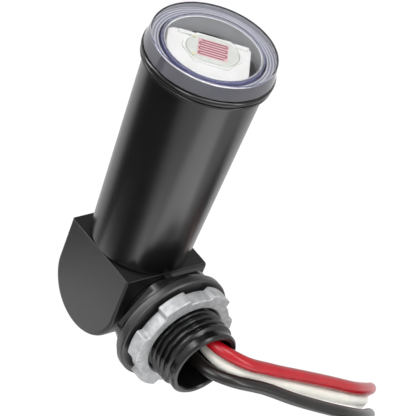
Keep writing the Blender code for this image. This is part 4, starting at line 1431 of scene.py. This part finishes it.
@dataclass
class Locknut:
    """The cast locknut: a flat ring with six driving lobes."""

    bore: float = 10.75
    back_x: float = 0.9
    front_x: float = 4.7
    root_radius: float = 13.65
    tip_radius: float = 15.0
    lobes: int = 6
    lobe_angle: float = 29.0
    flank: float = 2.5
    first_lobe: float = 117.0
    edge: float = 0.3
    bore_edge: float = 0.4

    def outline(self) -> list[Ring]:
        """The rim seen along the axis, in mm: lobes at the tips, notches at the roots."""
        pitch = 360 / self.lobes
        half = self.lobe_angle / 2
        points = []
        for i in range(self.lobes):
            middle = self.first_lobe + pitch * i
            points += arc((0, 0), self.tip_radius, middle - half, middle + half, 12)
            points += arc((0, 0), self.root_radius, middle + half + self.flank,
                          middle + pitch - half - self.flank, 10)
        return points

    def build(self) -> None:
        """Extrudes the rim, bores it and softens its edges as a casting has them."""
        nut = plate("locknut_casting", self.outline(), self.back_x, self.front_x - self.back_x,
                    lambda y, z, x: (x, y, z))
        wall = self.root_radius - 0.5

        round_edges(nut, lambda a, b: self.edge if math.hypot(a.y, a.z) > wall else 0.0,
                    self.edge, 3)
        drill(nut, self.bore, (self.back_x - 1, 0, 0), "x", self.front_x - self.back_x + 2)
        for x, away in ((self.front_x, 1), (self.back_x, -1)):
            tip = x - away - away * self.bore_edge
            mouth = turn("nut_mouth", [(0, x + away), (self.bore + self.bore_edge + 1, x + away),
                                       (self.bore - 1, tip), (0, tip)], Axis.NIPPLE)
            combine(nut, mouth, "DIFFERENCE")
        finish_mesh(nut, 30)
        keep_flats_flat(nut)
        dress(nut, ZINC, "zinc_casting", "locknut")


# What shows under the lens

@dataclass
class Carrier:
    """The white plate with its tabs, and the raised frame round the cell."""

    top_z: float = 72.8
    foot_z: float = 71.1
    left: float = -11.6
    right: float = 9.7
    far: float = -5.7
    bow: float = 0.35
    near_radius: float = 12.3
    corner: float = 1.4
    tab_half: float = 1.8
    tab_place: float = 7.2
    tab_depth: float = 1.3
    tab_rise: float = 0.6
    tab_inset: float = 0.6
    tab_root: float = 0.5
    frame_length: float = 15.2
    frame_width: float = 11.6
    frame_shoulder: float = 8.6
    frame_rise: float = 0.4
    frame_offset: float = 0.5
    frame_edge: float = 0.12
    frame_gap: float = 0.14
    root: float = 0.2
    edge: float = 0.3
    tab_edge: float = 0.2

    def outline(self) -> list[Ring]:
        """The plate's plan on the board's axes, in mm: its near edge follows the lens."""
        left, right, far, corner = self.left, self.right, self.far, self.corner
        start = math.degrees(math.acos(right / self.near_radius))
        end = math.degrees(math.acos(left / self.near_radius))
        return [(left, far + corner), (left + corner, far + self.bow), (0, far),
                (right - corner, far + self.bow), (right, far + corner),
                *arc((0, 0), self.near_radius, start, end, 24)]

    def build(self) -> None:
        """Builds the plate in place of its node."""
        body = plate("carrier_plate", self.outline(), self.foot_z, self.top_z - self.foot_z)
        round_top(body, self.edge, 3, self.foot_z + 1)
        for side in (-1, 1):
            middle = side * self.tab_place
            low = self.bow + self.far + self.tab_inset
            tab = plate(f"tab_{side}", rectangle((middle - self.tab_half, low),
                                                 (middle + self.tab_half, low + self.tab_depth)),
                        self.foot_z + self.tab_root,
                        self.top_z - self.foot_z - self.tab_root + self.tab_rise)
            round_top(tab, self.tab_edge, 2)
            combine(body, tab, "UNION")
        finish_mesh(body, 35)
        keep_flats_flat(body)
        dress(body, CARRIER_ABS, "white_carrier", "cell_carrier")
        half, side = self.frame_length / 2, self.frame_width / 2
        shoulder, middle = self.frame_shoulder / 2, self.frame_offset
        frame = plate("carrier_frame", [
            (-half, middle + 1), (-half, middle - 1), (-shoulder, middle - side),
            (shoulder, middle - side), (half, middle - 1), (half, middle + 1),
            (shoulder, middle + side), (-shoulder, middle + side)],
            self.top_z - self.root, self.frame_rise + self.root)
        recess = plate("frame_recess", LightCell().oval(self.frame_gap),
                       self.top_z - 2 * self.root, 2.0)
        combine(frame, recess, "DIFFERENCE")
        round_top(frame, self.frame_edge, 2, self.top_z + self.root)
        finish_mesh(frame, 40)
        dress(frame, CARRIER_ABS, "white_carrier")


@dataclass
class LightCell:
    """The light cell: an oval ceramic body with red tracks between pale electrodes."""

    top_z: float = 73.4
    foot_z: float = 72.4
    length: float = 13.5
    width: float = 10.2
    offset: float = 0.5
    tracks: int = 7
    track_length: float = 7.0
    track_pitch: float = 0.95
    track_width: float = 0.36
    pads: tuple[Ring, ...] = ((-4.9, -2.9), (-4.7, 4.1))
    pad_radius: float = 0.5
    root: float = 0.1
    edge: float = 0.25
    film_margin: Ring = (0.4, 0.1)
    film_thickness: float = 0.14
    track_thickness: float = 0.22
    pad_thickness: float = 0.25
    pad_edge: float = 0.1

    def oval(self, grow: float) -> list[Ring]:
        """The body's plan, grown all round, on the board's axes in mm."""
        radius = self.width / 2 + grow
        reach = (self.length - self.width) / 2
        outline = arc((reach, self.offset), radius, -90, 90, 32)
        return outline + arc((-reach, self.offset), radius, 90, 270, 32)

    def build(self) -> None:
        """Builds the body, the electrode film and the tracks."""
        body = plate("cell_body", self.oval(0), self.foot_z, self.top_z - self.foot_z)
        round_top(body, self.edge, 4, self.foot_z + 0.5)
        finish_mesh(body, 35)
        keep_flats_flat(body)
        dress(body, CELL_CERAMIC, "cell_ceramic", "light_cell")
        half_length = self.track_length / 2 + self.film_margin[0]
        half_width = self.tracks * self.track_pitch / 2 + self.film_margin[1]
        root = self.top_z - self.root
        film = plate("cell_electrodes", rectangle((-half_length, self.offset - half_width),
                                                  (half_length, self.offset + half_width)),
                     root, self.film_thickness)
        dress(film, CELL_GROUND, "cell_ceramic")
        tracks = plate("cell_tracks", self.serpentine(), root, self.track_thickness)
        dress(tracks, CELL_TRACK, "cell_ceramic")
        for i, centre in enumerate(self.pads):
            pad = plate(f"cell_pad_{i}", arc(centre, self.pad_radius, 0, 345, 23), root,
                        self.pad_thickness)
            round_top(pad, self.pad_edge, 2)
            finish_mesh(pad, 40)
            dress(pad, CELL_PAD, "cell_ceramic")

    def serpentine(self) -> list[Ring]:
        """The outline of one ribbon that runs to and fro along the cell, in mm."""
        middle = []
        first = self.offset - (self.tracks - 1) * self.track_pitch / 2
        reach = (self.track_length - self.track_pitch) / 2
        for i in range(self.tracks):
            side = 1 if i % 2 == 0 else -1
            out = first + i * self.track_pitch
            middle.append((-side * reach, out))
            middle.append((side * reach, out))
            if i < self.tracks - 1:
                turned = arc((side * reach, out + self.track_pitch / 2), self.track_pitch / 2,
                             -90, 90, 6)
                middle += [(side * reach + side * abs(x - side * reach), y)
                           for x, y in turned[1:-1]]
        left, right = [], []
        for i, (x, y) in enumerate(middle):
            ahead = Vector(middle[min(i + 1, len(middle) - 1)])
            behind = Vector(middle[max(i - 1, 0)])
            way = (ahead - behind).normalized() * self.track_width / 2
            left.append((x - way.y, y + way.x))
            right.append((x + way.y, y - way.x))
        return left + right[::-1]


def main() -> None:
    """Builds the studio and every sub-assembly in order."""
    logging.basicConfig(level=logging.INFO, format="%(message)s")
    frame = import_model()
    Camera().build()
    for lead in LEADS:
        lead.build()
    Studio().build()
    for part in (Elbow(), Tube(), SEAL, Lens(), Nipple(), GASKET, Locknut(), Carrier(),
                 LightCell()):
        part.build()
    dress_kept(frame["nodes"])


if __name__ == "__main__":
    main()
